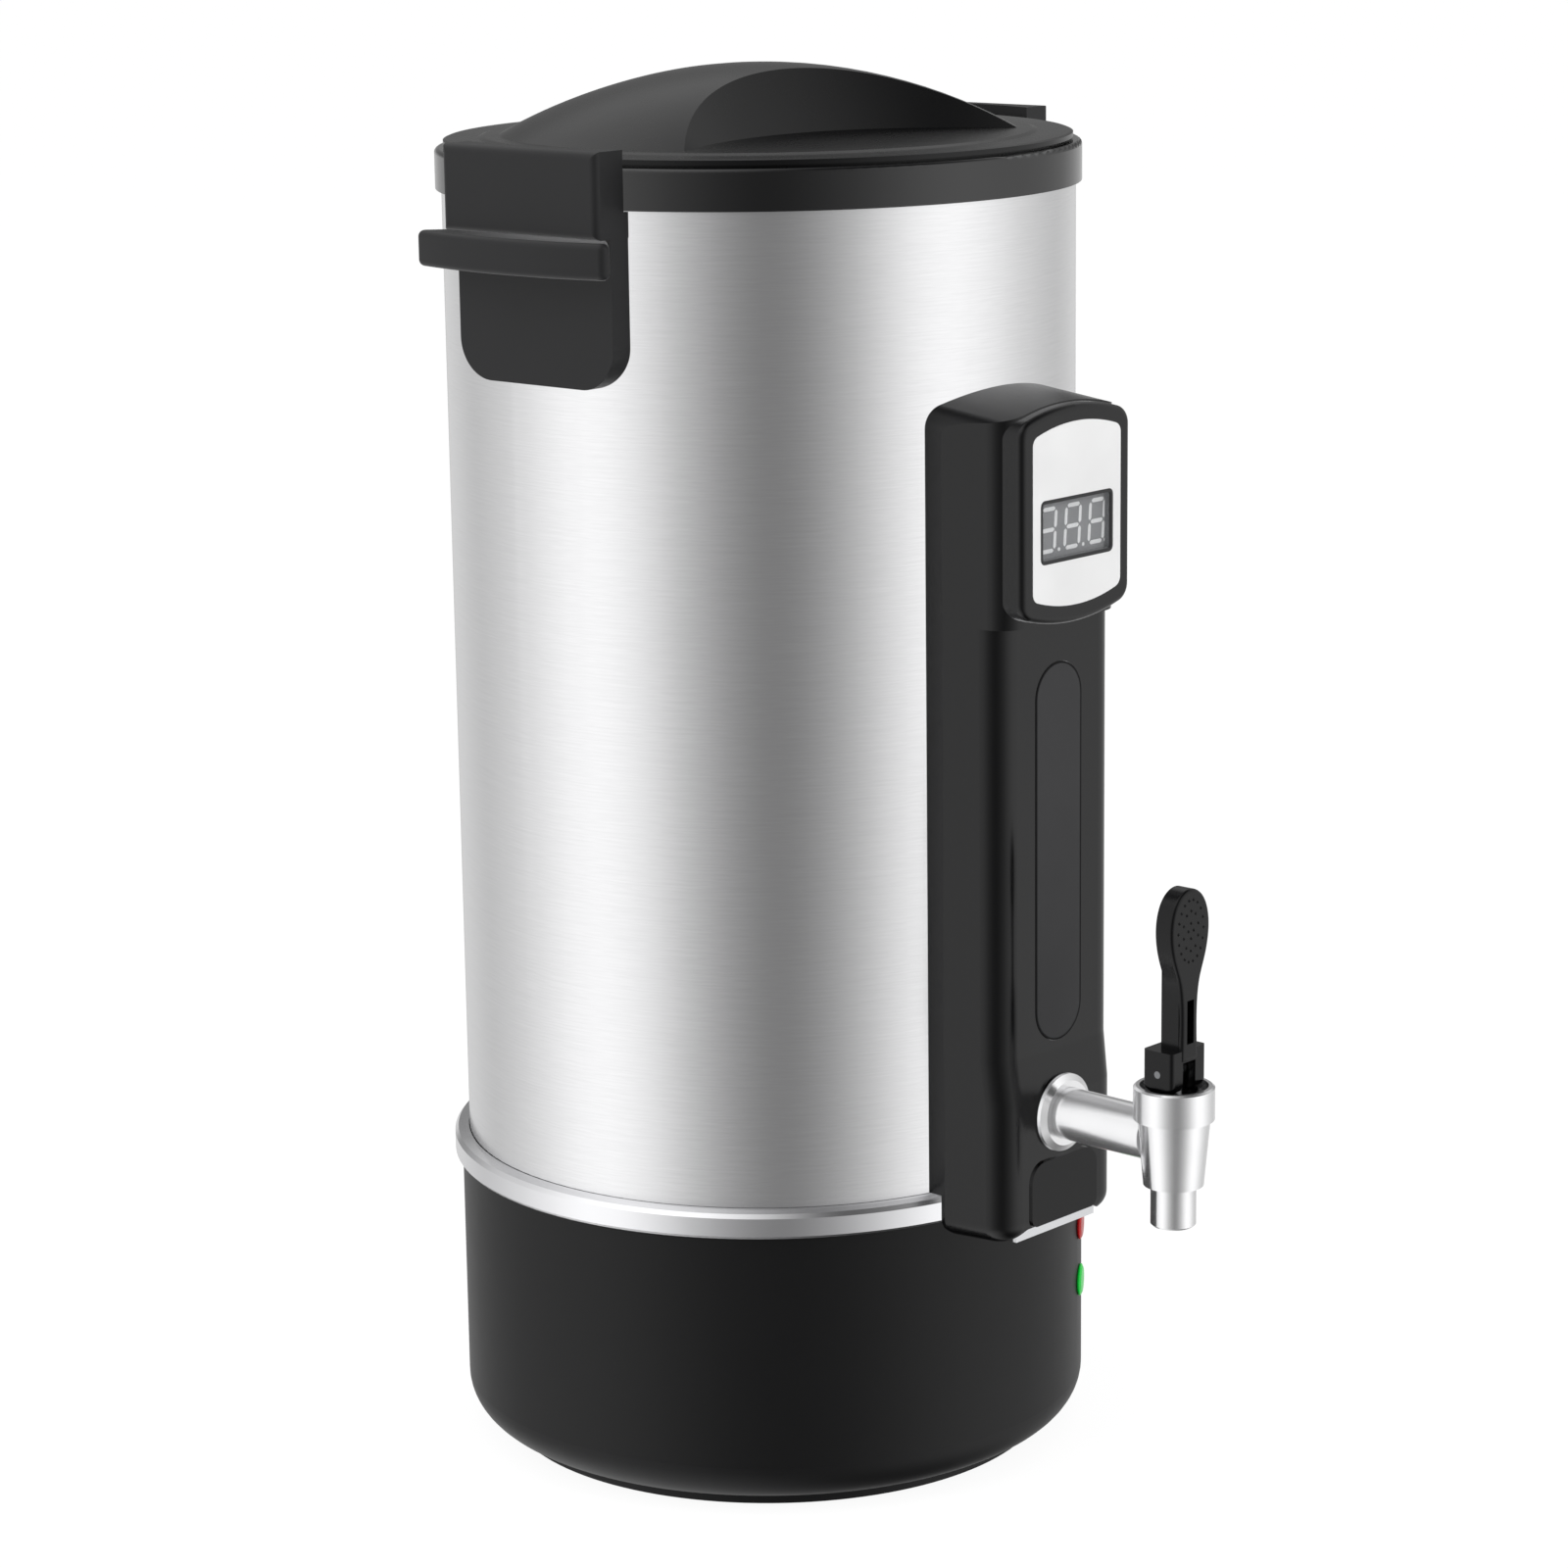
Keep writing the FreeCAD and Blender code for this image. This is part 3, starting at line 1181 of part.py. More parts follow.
def make_panel_housing():
    """Hollow column on the front of the shell, with its display head, recesses and bosses."""
    outside = fuse("column_outside", [column_outside(), rim_form("rim_outer", "0", HEAD_FACE, COLUMN_INSIDE)])
    inside = fuse("column_inside", [column_outline("column_inner", "column_wall"),
                                    rim_form("rim_inner", "column_wall", HEAD_INSIDE,
                                             f"{COLUMN_INSIDE} - column_wall")])
    hollow = cut("column_hollow", outside, [inside])
    bosses = [
        cylinder(f"column_boss_{side}_{end}", "column_boss_radius", f"{COLUMN_INSIDE} + 1 - shell_radius/2",
                 turn=TOWARD_TAP, x=f"{side}*column_screw_spacing/2", y="-shell_radius/2",
                 z=f"column_screw_{end}")
        for side, end in column_screw_places()
    ]
    posts = [
        cylinder(f"board_post_{side}_{row}", "board_post_radius", "module_depth + 1", turn=TOWARD_TAP,
                 x=f"{side}*(board_half_width - board_post_radius)", y=f"-{MODULE_BACK}",
                 z=f"label_middle + {row}*(board_half_height - board_post_radius)")
        for side in (-1, 1) for row in (-1, 1)
    ]
    tools = [
        cylinder("column_shell_side", "shell_radius + fit", "2*column_height", z="column_start - 20"),
        cylinder("column_ring_side", "ring_radius + fit", "tub_height + ring_height + fit", z="0"),
        label_form("label_recess", "fit/2", f"{HEAD_FACE} + 1", f"{HEAD_FACE} - label_thickness"),
        window_form("window_hole", "0", f"{HEAD_FACE} + 2", f"{HEAD_INSIDE} - 1"),
        inlay_form("inlay_recess", "window_gap", f"{COLUMN_FACE} + 1",
                   f"{COLUMN_FACE} + inlay_proud - inlay_thickness"),
        cover_pad_form("cover_pad_recess", "2*window_gap", f"{COVER_PAD_FACE} + 1", COVER_PAD_BACK),
        cover_pad_form("cover_pad_hole", "-4", f"{COVER_PAD_FACE} + 1", f"{COLUMN_INSIDE} - 1"),
        cylinder("column_screw_head_hole", HEAD_CLEARANCE, "2*column_depth", turn=TOWARD_TAP,
                 y=f"-({BRACKET_FRONT} - head_height)", z=BRACKET_SCREW_LEVEL),
        padded("column_notch", "XZ_Plane", [
            ("-notch_half_width", "column_start - 1"),
            ("notch_half_width", "column_start - 1"),
            ("notch_half_width", "column_start"),
            ("notch_half_width - notch_height", "column_start + 0.44*notch_height"),
            ("cover_pad_half_width + fit", "column_start + notch_height"),
            ("-(cover_pad_half_width + fit)", "column_start + notch_height"),
            ("-(notch_half_width - notch_height)", "column_start + 0.44*notch_height"),
            ("-notch_half_width", "column_start"),
        ], f"{FOOT_FACE} + 2 - ring_radius", y="-(ring_radius - 1)"),
        box("bracket_pocket", ("-(bracket_half_width + fit)", "bracket_half_width + fit"),
            (f"-{BRACKET_FRONT}", f"-({BRACKET_BACK} - 1)"),
            ("column_start - 1", "bracket_start + bracket_height + fit")),
        padded("column_relief", "YZ_Plane", [
            ("-(shell_radius - 20)", "column_start - 1"),
            ("-(shell_radius + foot_relief + 1)", "column_start - 1"),
            ("-(shell_radius - 20)", "column_start + foot_relief + 20"),
        ], "3*column_half_width", x="-1.5*column_half_width"),
        cylinder("column_pipe_hole", "pipe_radius + fit", "column_depth", turn=TOWARD_TAP,
                 y=f"-({COLUMN_FACE} - column_depth/2)", z=TAP_LEVEL),
    ]
    tools += [
        cylinder(f"column_pilot_{side}_{end}", PILOT_HOLE, f"screw_length + 1 + shell_radius/2 - shell_wall",
                 turn=TOWARD_TAP, x=f"{side}*column_screw_spacing/2", y="-shell_radius/2",
                 z=f"column_screw_{end}")
        for side, end in column_screw_places()
    ]
    tools += [
        cylinder(f"post_pilot_{side}_{row}", "board_screw_radius + pilot_gap", "module_depth", turn=TOWARD_TAP,
                 x=f"{side}*(board_half_width - board_post_radius)", y=f"-({MODULE_BACK} - 1)",
                 z=f"label_middle + {row}*(board_half_height - board_post_radius)")
        for side in (-1, 1) for row in (-1, 1)
    ]
    solid = fuse("column_solid", [hollow] + bosses + posts)
    return piece("panel_housing", cut("panel_housing", solid, tools))


def make_panel_screws():
    """Screws driven outward from inside the shell into the column's bosses."""
    half = "column_screw_spacing/2"
    seat = f"(sqrt({SHELL_INSIDE}*{SHELL_INSIDE} - ({half} + head_radius)*({half} + head_radius)) - fit/2)"
    screws = [
        screw(f"column_screw_{side}_{end}", "screw_length", turn=TOWARD_TAP,
              x=f"{side}*{half}", y=f"-{seat}", z=f"column_screw_{end}")
        for side, end in column_screw_places()
    ]
    return piece("panel_screws", group("panel_screws", screws))


def make_label_plate():
    plate = label_form("label_blank", "0", HEAD_FACE, f"{HEAD_FACE} - label_thickness")
    window = window_form("label_window", "0", f"{HEAD_FACE} + 1", f"{HEAD_FACE} - 2*label_thickness")
    return piece("label_plate", cut("label_plate", plate, [window]))


def make_display_window():
    front = f"({HEAD_FACE} - label_thickness)"
    return piece("display_window", window_form("display_window", "-window_gap", front, HEAD_INSIDE))


def make_display_module():
    """Three digit display block behind the window."""
    block = window_form("display_module", "module_margin", HEAD_INSIDE, MODULE_BACK)
    return piece("display_module", block)


def make_display_board():
    board = box("board_blank", ("-board_half_width", "board_half_width"), (f"-{MODULE_BACK}", f"-{BOARD_BACK}"),
                ("label_middle - board_half_height", "label_middle + board_half_height"))
    holes = [
        cylinder(f"board_hole_{side}_{row}", "board_screw_radius + fit/2", "4*board_thickness", turn=TOWARD_TAP,
                 x=f"{side}*(board_half_width - board_post_radius)", y=f"-({BOARD_BACK} - board_thickness)",
                 z=f"label_middle + {row}*(board_half_height - board_post_radius)")
        for side in (-1, 1) for row in (-1, 1)
    ]
    return piece("display_board", cut("display_board", board, holes))


def make_board_screws():
    screws = [
        screw(f"board_screw_{side}_{row}", "board_screw_length", radius="board_screw_radius",
              head="(board_screw_radius + 1.3)", turn=TOWARD_TAP,
              x=f"{side}*(board_half_width - board_post_radius)", y=f"-{BOARD_BACK}",
              z=f"label_middle + {row}*(board_half_height - board_post_radius)")
        for side in (-1, 1) for row in (-1, 1)
    ]
    return piece("board_screws", group("board_screws", screws))


def make_grip_inlay():
    face = f"({COLUMN_FACE} + inlay_proud)"
    return piece("grip_inlay", inlay_form("grip_inlay", "0", face, f"{face} - inlay_thickness"))


def make_screw_cover():
    """Pad over the bracket's screw, hollowed behind for the screw's head."""
    pad = cover_pad_form("screw_cover_pad", "0", COVER_PAD_FACE, COVER_PAD_BACK)
    hollow = cylinder("screw_cover_hollow", HEAD_CLEARANCE, "head_height + fit", turn=TOWARD_TAP,
                      y=f"-{BRACKET_FRONT}", z=BRACKET_SCREW_LEVEL)
    return piece("screw_cover", cut("screw_cover", pad, [hollow]))


def make_panel_bracket():
    """Steel strip behind the screw cover that ties the column's foot to the trim ring."""
    strip = box("bracket_strip", ("-bracket_half_width", "bracket_half_width"),
                (f"-{BRACKET_FRONT}", f"-{BRACKET_BACK}"), ("bracket_start", "bracket_start + bracket_height"))
    hole = cylinder("bracket_hole", SCREW_HOLE, "column_depth", turn=TOWARD_TAP,
                    y=f"-({COLUMN_INSIDE} - column_depth/2)", z=BRACKET_SCREW_LEVEL)
    return piece("panel_bracket", cut("panel_bracket", strip, [hole]))


def make_bracket_screw():
    """Long screw from the bracket back into the trim ring, its head under the screw cover."""
    length = f"({BRACKET_FRONT} - shell_radius - 2*fit)"
    long_screw = screw("bracket_screw", length, turn=TOWARD_REAR, y=f"-{BRACKET_FRONT}", z=BRACKET_SCREW_LEVEL)
    return piece("bracket_screw", long_screw)


# ------------------------------------------------------------------ tap

def along_tap(name, outside, inside, near, far):
    """A ring about the tap pipe's axis between two distances from the main axis."""
    return revolved(name, [(inside, near), (outside, near), (outside, far), (inside, far)],
                    turn=TOWARD_TAP, z=TAP_LEVEL)


def make_tap_fittings():
    """What seals and clamps the pipe: gaskets, nut, spacer tube and escutcheon."""
    sleeve = "(pipe_radius + running_gap)"
    inner_wall = "(sqrt(pot_radius*pot_radius - inner_washer_radius*inner_washer_radius) - fit)"
    outer_wall = f"({POT_OUTSIDE} + fit)"
    spacer_start = f"({outer_wall} + washer_thickness)"
    nut_start = f"({inner_wall} - washer_thickness - tap_nut_height)"
    washers = [
        along_tap("inner_washer", "inner_washer_radius", sleeve, f"{inner_wall} - washer_thickness", inner_wall),
        along_tap("outer_washer", "washer_radius", sleeve, outer_wall, spacer_start),
    ]
    piece("tap_gaskets", group("tap_gaskets", washers))
    nut = hex_nut("tap_nut", "tap_nut_radius", "tap_nut_height", sleeve, turn=TOWARD_TAP,
                  y=f"-{nut_start}", z=TAP_LEVEL)
    piece("tap_nut", nut)
    piece("tap_spacer", along_tap("tap_spacer", "spacer_radius", sleeve, spacer_start, COLUMN_INSIDE))
    flange = revolved("tap_escutcheon", [
        (sleeve, FOOT_FACE),
        ("escutcheon_radius", FOOT_FACE),
        ("escutcheon_radius", f"{FOOT_FACE} + escutcheon_thickness/2"),
        ("escutcheon_radius - 2.2", f"{FOOT_FACE} + escutcheon_thickness"),
        (sleeve, f"{FOOT_FACE} + escutcheon_thickness"),
    ], turn=TOWARD_TAP, z=TAP_LEVEL)
    piece("tap_escutcheon", flange)


def make_tap_pipe():
    return piece("tap_pipe", along_tap("tap_pipe", "pipe_radius", "pipe_bore", "pipe_inside", PORT_FACE))


PORT_FACE = "(tap_reach - chamber_radius - fit)"


def make_tap_body():
    """Tapered valve body with a cup for the bonnet on top and the seat inside."""
    turned = revolved("tap_body_turned", [
        ("spigot_radius + running_gap", BODY_FOOT),
        ("body_low_radius", BODY_FOOT),
        ("body_top_radius", f"{CUP_TOP} - cup_height"),
        ("cup_radius", f"{CUP_TOP} - cup_height"),
        ("cup_radius", f"{CUP_TOP} - 0.6"),
        ("cup_radius - 0.8", CUP_TOP),
        ("cup_bore", CUP_TOP),
        ("cup_bore", CUP_LEDGE),
        ("chamber_radius", CUP_LEDGE),
        ("chamber_radius", SEAT_LEVEL),
        ("orifice_radius", SEAT_LEVEL),
        ("orifice_radius", f"{BODY_FOOT} + nozzle_spigot + fit"),
        ("spigot_radius + running_gap", f"{BODY_FOOT} + nozzle_spigot + fit"),
    ], y="-tap_reach")
    port_seat = cylinder("port_seat", "pipe_radius + running_gap", "tap_reach - shell_radius - 4*pipe_radius",
                         turn=TOWARD_REAR, y=f"-{PORT_FACE}", z=TAP_LEVEL)
    port = cylinder("port", "pipe_bore", "tap_reach - shell_radius", turn=TOWARD_REAR, y="-tap_reach", z=TAP_LEVEL)
    return piece("tap_body", cut("tap_body", turned, [port_seat, port]))


def make_tap_nozzle():
    """Outlet tube screwed into the body's foot."""
    foot = f"({BODY_FOOT} - nozzle_length)"
    nozzle = revolved("tap_nozzle", [
        ("nozzle_bore", foot),
        ("nozzle_radius - 0.6", foot),
        ("nozzle_radius", f"{foot} + 0.6"),
        ("nozzle_radius", BODY_FOOT),
        ("spigot_radius", BODY_FOOT),
        ("spigot_radius", f"{BODY_FOOT} + nozzle_spigot"),
        ("orifice_radius", f"{BODY_FOOT} + nozzle_spigot"),
        ("orifice_radius", f"{BODY_FOOT} - 1"),
        ("nozzle_bore", f"{BODY_FOOT} - 2"),
    ], y="-tap_reach")
    return piece("tap_nozzle", nozzle)


def make_tap_bonnet():
    """Black plug in the cup that guides the stem and carries the lever's foot."""
    hole = "(stem_radius + 2*running_gap)"
    bonnet = revolved("tap_bonnet", [
        (hole, CUP_LEDGE),
        ("bonnet_radius", CUP_LEDGE),
        ("bonnet_radius", f"{CUP_LEDGE} + bonnet_flange"),
        ("bonnet_hub_radius", f"{CUP_LEDGE} + bonnet_flange + 1"),
        ("bonnet_hub_radius", f"{CUP_LEDGE} + bonnet_height"),
        (hole, f"{CUP_LEDGE} + bonnet_height"),
    ], y="-tap_reach")
    return piece("tap_bonnet", bonnet)


def make_tap_stem():
    """Stem with a flange for the spring and a cross head for the lever pin."""
    tip = f"({SEAT_LEVEL} + seat_cup_height/3)"
    shank = revolved("stem_shank", [
        ("0", tip),
        ("stem_radius - 1", tip),
        ("stem_radius - 1", STEM_SHOULDER),
        ("stem_flange_radius", STEM_SHOULDER),
        ("stem_flange_radius", f"{STEM_SHOULDER} + stem_flange"),
        ("stem_radius", f"{STEM_SHOULDER} + stem_flange"),
        ("stem_radius", PIN_LEVEL),
        ("0", PIN_LEVEL),
    ], y="-tap_reach")
    head = cylinder("stem_head", "stem_radius", "2*stem_radius", turn=TOWARD_RIGHT,
                    x="-stem_radius", y="-tap_reach", z=PIN_LEVEL)
    eye = cylinder("stem_eye", "pin_radius + running_gap", "4*stem_radius", turn=TOWARD_RIGHT,
                   x="-2*stem_radius", y="-tap_reach", z=PIN_LEVEL)
    return piece("tap_stem", cut("tap_stem", fuse("stem_solid", [shank, head]), [eye]))


def make_seat_cup():
    """Silicone plug that closes the orifice."""
    bore = "(stem_radius - 1 + running_gap)"
    cup = revolved("seat_cup", [
        ("0", SEAT_LEVEL),
        ("seat_cup_radius", SEAT_LEVEL),
        ("seat_cup_radius", f"{SEAT_LEVEL} + seat_cup_height/2"),
        ("stem_flange_radius - 0.6", STEM_SHOULDER),
        (bore, STEM_SHOULDER),
        (bore, f"{SEAT_LEVEL} + seat_cup_height/3"),
        ("0", f"{SEAT_LEVEL} + seat_cup_height/3"),
    ], y="-tap_reach")
    return piece("seat_cup", cup)


def make_stem_spring():
    """Compression spring between the stem's flange and the bonnet."""
    wire = number("spring_wire")
    radius = number("spring_radius")
    low = number(f"{STEM_SHOULDER} + stem_flange") + wire
    high = number(CUP_LEDGE) - wire
    path = Part.makeHelix((high - low) / number("spring_turns"), high - low, radius)
    start = Part.Circle(FreeCAD.Vector(radius, 0, 0), FreeCAD.Vector(0, 1, 0), wire).toShape()
    coil = Part.Wire(path).makePipeShell([Part.Wire([start])], True, True)
    spring = doc.addObject("Part::Feature", "stem_spring")
    spring.Shape = coil
    spring.Placement = FreeCAD.Placement(FreeCAD.Vector(0, -number("tap_reach"), low), UPRIGHT)
    return piece("stem_spring", spring)


PADDLE_PROFILE = ((-1.05, 0.43), (-0.68, 0.55), (-0.35, 0.78), (-0.05, 0.94), (0.27, 1), (0.6, 0.9),
                  (0.865, 0.6))


def make_paddle():
    """Spoon outline drawn as one smooth curve of (height, half width) shares, then padded forward."""
    middle, tall, wide = number("paddle_rise"), number("paddle_half_height"), number("paddle_half_width")
    foot = number("lever_head/2")
    side = [(number("neck_half_width"), foot)]
    side += [(wide * width, middle + tall * height) for height, width in PADDLE_PROFILE]
    points = side + [(0, middle + tall)] + [(-across, up) for across, up in reversed(side)]
    back = -number("tap_reach + paddle_forward - paddle_half_depth")
    pin = number(PIN_LEVEL)
    curve = Part.BSplineCurve()
    curve.interpolate([FreeCAD.Vector(across, back, pin + up) for across, up in points])
    sole = Part.makeLine(curve.EndPoint, curve.StartPoint)
    face = Part.Face(Part.Wire([curve.toShape(), sole]))
    blank = doc.addObject("Part::Feature", "paddle_blank")
    blank.Shape = face.extrude(FreeCAD.Vector(0, -number("2*paddle_half_depth"), 0))
    return blank


def make_tap_lever():
    """Forked foot that rides on the bonnet, slim neck and oval paddle."""
    foot = box("lever_block", ("-lever_half_width", "lever_half_width"),
               ("-(tap_reach + lever_half_depth)", "-(tap_reach - lever_half_depth)"),
               (f"{PIN_LEVEL} - lever_foot", f"{PIN_LEVEL} + lever_head"))
    sole = on_level("Z", f"{PIN_LEVEL} - lever_foot")
    foot = part_rounded("lever_foot_round", foot, "lever_round", lambda edge: sole(edge) and along("X")(edge))
    foot = part_rounded("lever_foot_corners", foot, "lever_corner", along("Z"))
    neck_middle = "(tap_reach + neck_forward)"
    neck = box("lever_neck", ("-neck_half_width", "neck_half_width"),
               (f"-({neck_middle} + neck_half_depth)", f"-({neck_middle} - neck_half_depth)"),
               (f"{PIN_LEVEL} + lever_head/2", f"{PIN_LEVEL} + paddle_rise"))
    paddle = part_rounded("lever_paddle", make_paddle(), "paddle_round",
                          on_level("Y", "-(tap_reach + paddle_forward + paddle_half_depth)"))
    fork_half = "(stem_radius + fork_gap)"
    fork = box("lever_fork", (f"-{fork_half}", fork_half),
               ("-(tap_reach + 2*lever_half_depth)", f"-(tap_reach - {fork_half})"),
               (f"{PIN_LEVEL} - 2*lever_foot", f"{PIN_LEVEL} + stem_radius + 2*fork_gap"))
    slot = box("lever_slot", ("-slot_half_width", "slot_half_width"),
               ("-(tap_reach + 3*lever_half_depth)", "-(tap_reach - 3*lever_half_depth)"),
               (f"{PIN_LEVEL} + slot_low", f"{PIN_LEVEL} + slot_high"))
    pin_hole = cylinder("lever_pin_hole", "pin_radius + running_gap", "4*lever_half_width", turn=TOWARD_RIGHT,
                        x="-2*lever_half_width", y="-tap_reach", z=PIN_LEVEL)
    solid = fuse("lever_solid", [foot, neck, paddle])
    return piece("tap_lever", cut("tap_lever", solid, [fork, slot, pin_hole]))


def make_lever_pin():
    pin = cylinder("lever_pin", "pin_radius", "2*lever_half_width", turn=TOWARD_RIGHT,
                   x="-lever_half_width", y="-tap_reach", z=PIN_LEVEL)
    return piece("lever_pin", pin)


# ------------------------------------------------------------------ thermostat and knob

def make_thermostat_body():
    """Round thermostat behind the dial flat, with a bore for its shaft and two side terminals."""
    back = "(flat_reach - flat_depth - thermostat_depth)"
    can = cylinder("thermostat_can", "thermostat_radius", "thermostat_depth", turn=TOWARD_RIGHT,
                   x=back, z="knob_level")
    terminals = [
        box(f"thermostat_terminal_{side}", (f"{back} - 8", f"{back} + 1"), (f"{side}*8 - 3", f"{side}*8 + 3"),
            ("knob_level - 0.4", "knob_level + 0.4"))
        for side in (-1, 1)
    ]
    bore = cylinder("thermostat_bore", "shaft_radius + running_gap", "thermostat_depth", turn=TOWARD_RIGHT,
                    x="flat_reach - flat_depth - shaft_inside - fit", z="knob_level")
    pilots = [
        cylinder(f"thermostat_pilot_{side}", PILOT_HOLE, "thermostat_depth", turn=TOWARD_RIGHT,
                 x="flat_reach - screw_length - fit", z=f"knob_level + {side}*thermostat_screw_spacing/2")
        for side in (-1, 1)
    ]
    return piece("thermostat_body", cut("thermostat_body", fuse("thermostat_solid", [can] + terminals),
                                        [bore] + pilots))


def make_thermostat_shaft():
    start = "(flat_reach - flat_depth - shaft_inside)"
    shaft = cylinder("thermostat_shaft", "shaft_radius", f"flat_reach + shaft_outside - {start}",
                     turn=TOWARD_RIGHT, x=start, z="knob_level")
    return piece("thermostat_shaft", shaft)


def make_thermostat_screws():
    """Two screws through the dial flat, their heads sunk under the dial plate."""
    screws = [
        screw(f"thermostat_screw_{side}", "screw_length - thermostat_head_sink", turn=TOWARD_LEFT,
              x="flat_reach - thermostat_head_sink", z=f"knob_level + {side}*thermostat_screw_spacing/2")
        for side in (-1, 1)
    ]
    return piece("thermostat_screws", group("thermostat_screws", screws))


def make_dial_plate():
    plate = revolved("dial_plate", [
        ("shaft_hole_radius", "0"), ("dial_radius", "0"), ("dial_radius", "dial_thickness"),
        ("shaft_hole_radius", "dial_thickness"),
    ], turn=TOWARD_RIGHT, x="flat_reach", z="knob_level")
    return piece("dial_plate", plate)


def make_control_knob():
    """Fluted knob on a round skirt, pressed on the thermostat shaft."""
    start = "(dial_thickness + knob_gap)"
    blank = revolved("knob_blank", [
        ("shaft_radius + running_gap", start),
        ("knob_skirt_radius", start),
        ("knob_skirt_radius", f"{start} + knob_skirt - 0.8"),
        ("knob_radius", f"{start} + knob_skirt"),
        ("knob_radius - 0.6", f"{start} + knob_depth - 1"),
        ("knob_radius - 1.6", f"{start} + knob_depth"),
        ("0", f"{start} + knob_depth"),
        ("0", "shaft_outside + fit"),
        ("shaft_radius + running_gap", "shaft_outside + fit"),
    ], turn=TOWARD_RIGHT, x="flat_reach", z="knob_level")
    flutes = []
    for index in range(int(number("knob_flutes"))):
        angle = f"(360*{index}/knob_flutes)"
        flutes.append(cylinder(f"knob_flute_{index}", "flute_radius", "knob_depth", turn=TOWARD_RIGHT,
                               x=f"flat_reach + {start} + knob_skirt", y=f"(knob_radius + flute_radius/2)*cos({angle})",
                               z=f"knob_level + (knob_radius + flute_radius/2)*sin({angle})"))
    return piece("control_knob", cut("control_knob", blank, flutes))


# ------------------------------------------------------------------ lamps

def make_lamps():
    """Domed lenses on the base, each with its holder behind the wall."""
    holders = []
    for colour in ("red", "green"):
        level = f"{colour}_lamp_level"
        lens = revolved(f"{colour}_lamp_lens", [
            ("0", "0"),
            ("lens_neck_radius", "0"),
            ("lens_neck_radius", "tub_wall + 2*fit"),
            ("lens_radius", "tub_wall + 2*fit"),
            ("lens_radius", "tub_wall + fit + lens_proud/2"),
            ("lens_radius - 1.2", "tub_wall + fit + lens_proud - 0.2"),
            ("0", "tub_wall + fit + lens_proud"),
        ], turn=radial_turn("lamp_azimuth"), **radial_place(f"({TUB_INSIDE} - fit)", "lamp_azimuth", level))
        piece(f"{colour}_lamp_lens", lens)
        holders.append(radial_cylinder(f"{colour}_lamp_holder", "holder_radius", "holder_length",
                                       f"({TUB_INSIDE} - fit - holder_length)", "lamp_azimuth", level))
    return piece("lamp_holders", group("lamp_holders", holders))


# ------------------------------------------------------------------ power inlet and terminal block

def make_power_inlet():
    """Panel socket for a detachable lead: flange on the rear flat, body through the wall."""
    face = "(flat_reach + inlet_flange_thickness)"
    flange = box("inlet_flange", ("-inlet_flange_half_width", "inlet_flange_half_width"), ("flat_reach", face),
                 ("inlet_level - inlet_flange_half_height", "inlet_level + inlet_flange_half_height"))
    body = box("inlet_body", ("-inlet_body_half_width", "inlet_body_half_width"),
               ("flat_reach - inlet_body_depth", "flat_reach + 0.5*inlet_flange_thickness"),
               ("inlet_level - inlet_body_half_height", "inlet_level + inlet_body_half_height"))
    socket = box("inlet_socket", ("-inlet_socket_half_width", "inlet_socket_half_width"),
                 (f"{face} - inlet_socket_depth", f"{face} + 1"),
                 ("inlet_level - inlet_socket_half_height", "inlet_level + inlet_socket_half_height"))
    slots = [inlet_pin_form(f"inlet_slot_{name}", across, up, "running_gap") for name, across, up in INLET_PINS]
    holes = [
        cylinder(f"inlet_hole_{side}", SCREW_HOLE, "4*inlet_flange_thickness", turn=TOWARD_REAR,
                 x=f"{side}*inlet_screw_spacing/2", y="flat_reach - inlet_flange_thickness", z="inlet_level")
        for side in (-1, 1)
    ]
    return piece("power_inlet", cut("power_inlet", fuse("inlet_solid", [flange, body]), [socket] + slots + holes))


INLET_PINS = (
    ("left", "-inlet_pin_spacing/2", "-inlet_pin_offset"),
    ("middle", "0", "inlet_pin_offset"),
    ("right", "inlet_pin_spacing/2", "-inlet_pin_offset"),
)


def inlet_pin_form(name, across, up, grow):
    """One flat contact from behind the inlet's body to just inside its mouth."""
    half_width = f"(inlet_pin_half_width + {grow})"
    half_height = f"(inlet_pin_half_height + {grow})"
    return box(name, (f"({across}) - {half_width}", f"({across}) + {half_width}"),
               ("flat_reach - inlet_body_depth - 6", "flat_reach + inlet_flange_thickness - 2"),
               (f"inlet_level + ({up}) - {half_height}", f"inlet_level + ({up}) + {half_height}"))


def make_inlet_pins():
    pins = [inlet_pin_form(f"inlet_pin_{name}", across, up, "0") for name, across, up in INLET_PINS]
    return piece("inlet_pins", group("inlet_pins", pins))


def make_inlet_screws():
    face = "(flat_reach + inlet_flange_thickness)"
    screws = [
        screw(f"inlet_screw_{side}", "screw_length - head_height", turn=TOWARD_TAP,
              x=f"{side}*inlet_screw_spacing/2", y=face, z="inlet_level")
        for side in (-1, 1)
    ]
    return piece("inlet_screws", group("inlet_screws", screws))


def make_terminal_block():
    """Insulating block with clamp holes, standing on the bottom cover."""
    blank = box("block_blank", ("-block_half_width", "block_half_width"),
                ("block_back - block_half_depth", "block_back + block_half_depth"),
                ("cover_thickness", "cover_thickness + block_height"))
    holes = [
        cylinder(f"block_hole_{index}", "block_hole_radius", "4*block_half_depth", turn=TOWARD_REAR,
                 x=f"{index}*block_half_width/2", y="block_back - 2*block_half_depth",
                 z="cover_thickness + block_height/2")
        for index in (-1, 0, 1)
    ]
    return piece("terminal_block", cut("terminal_block", blank, holes))


# ------------------------------------------------------------------ build and write

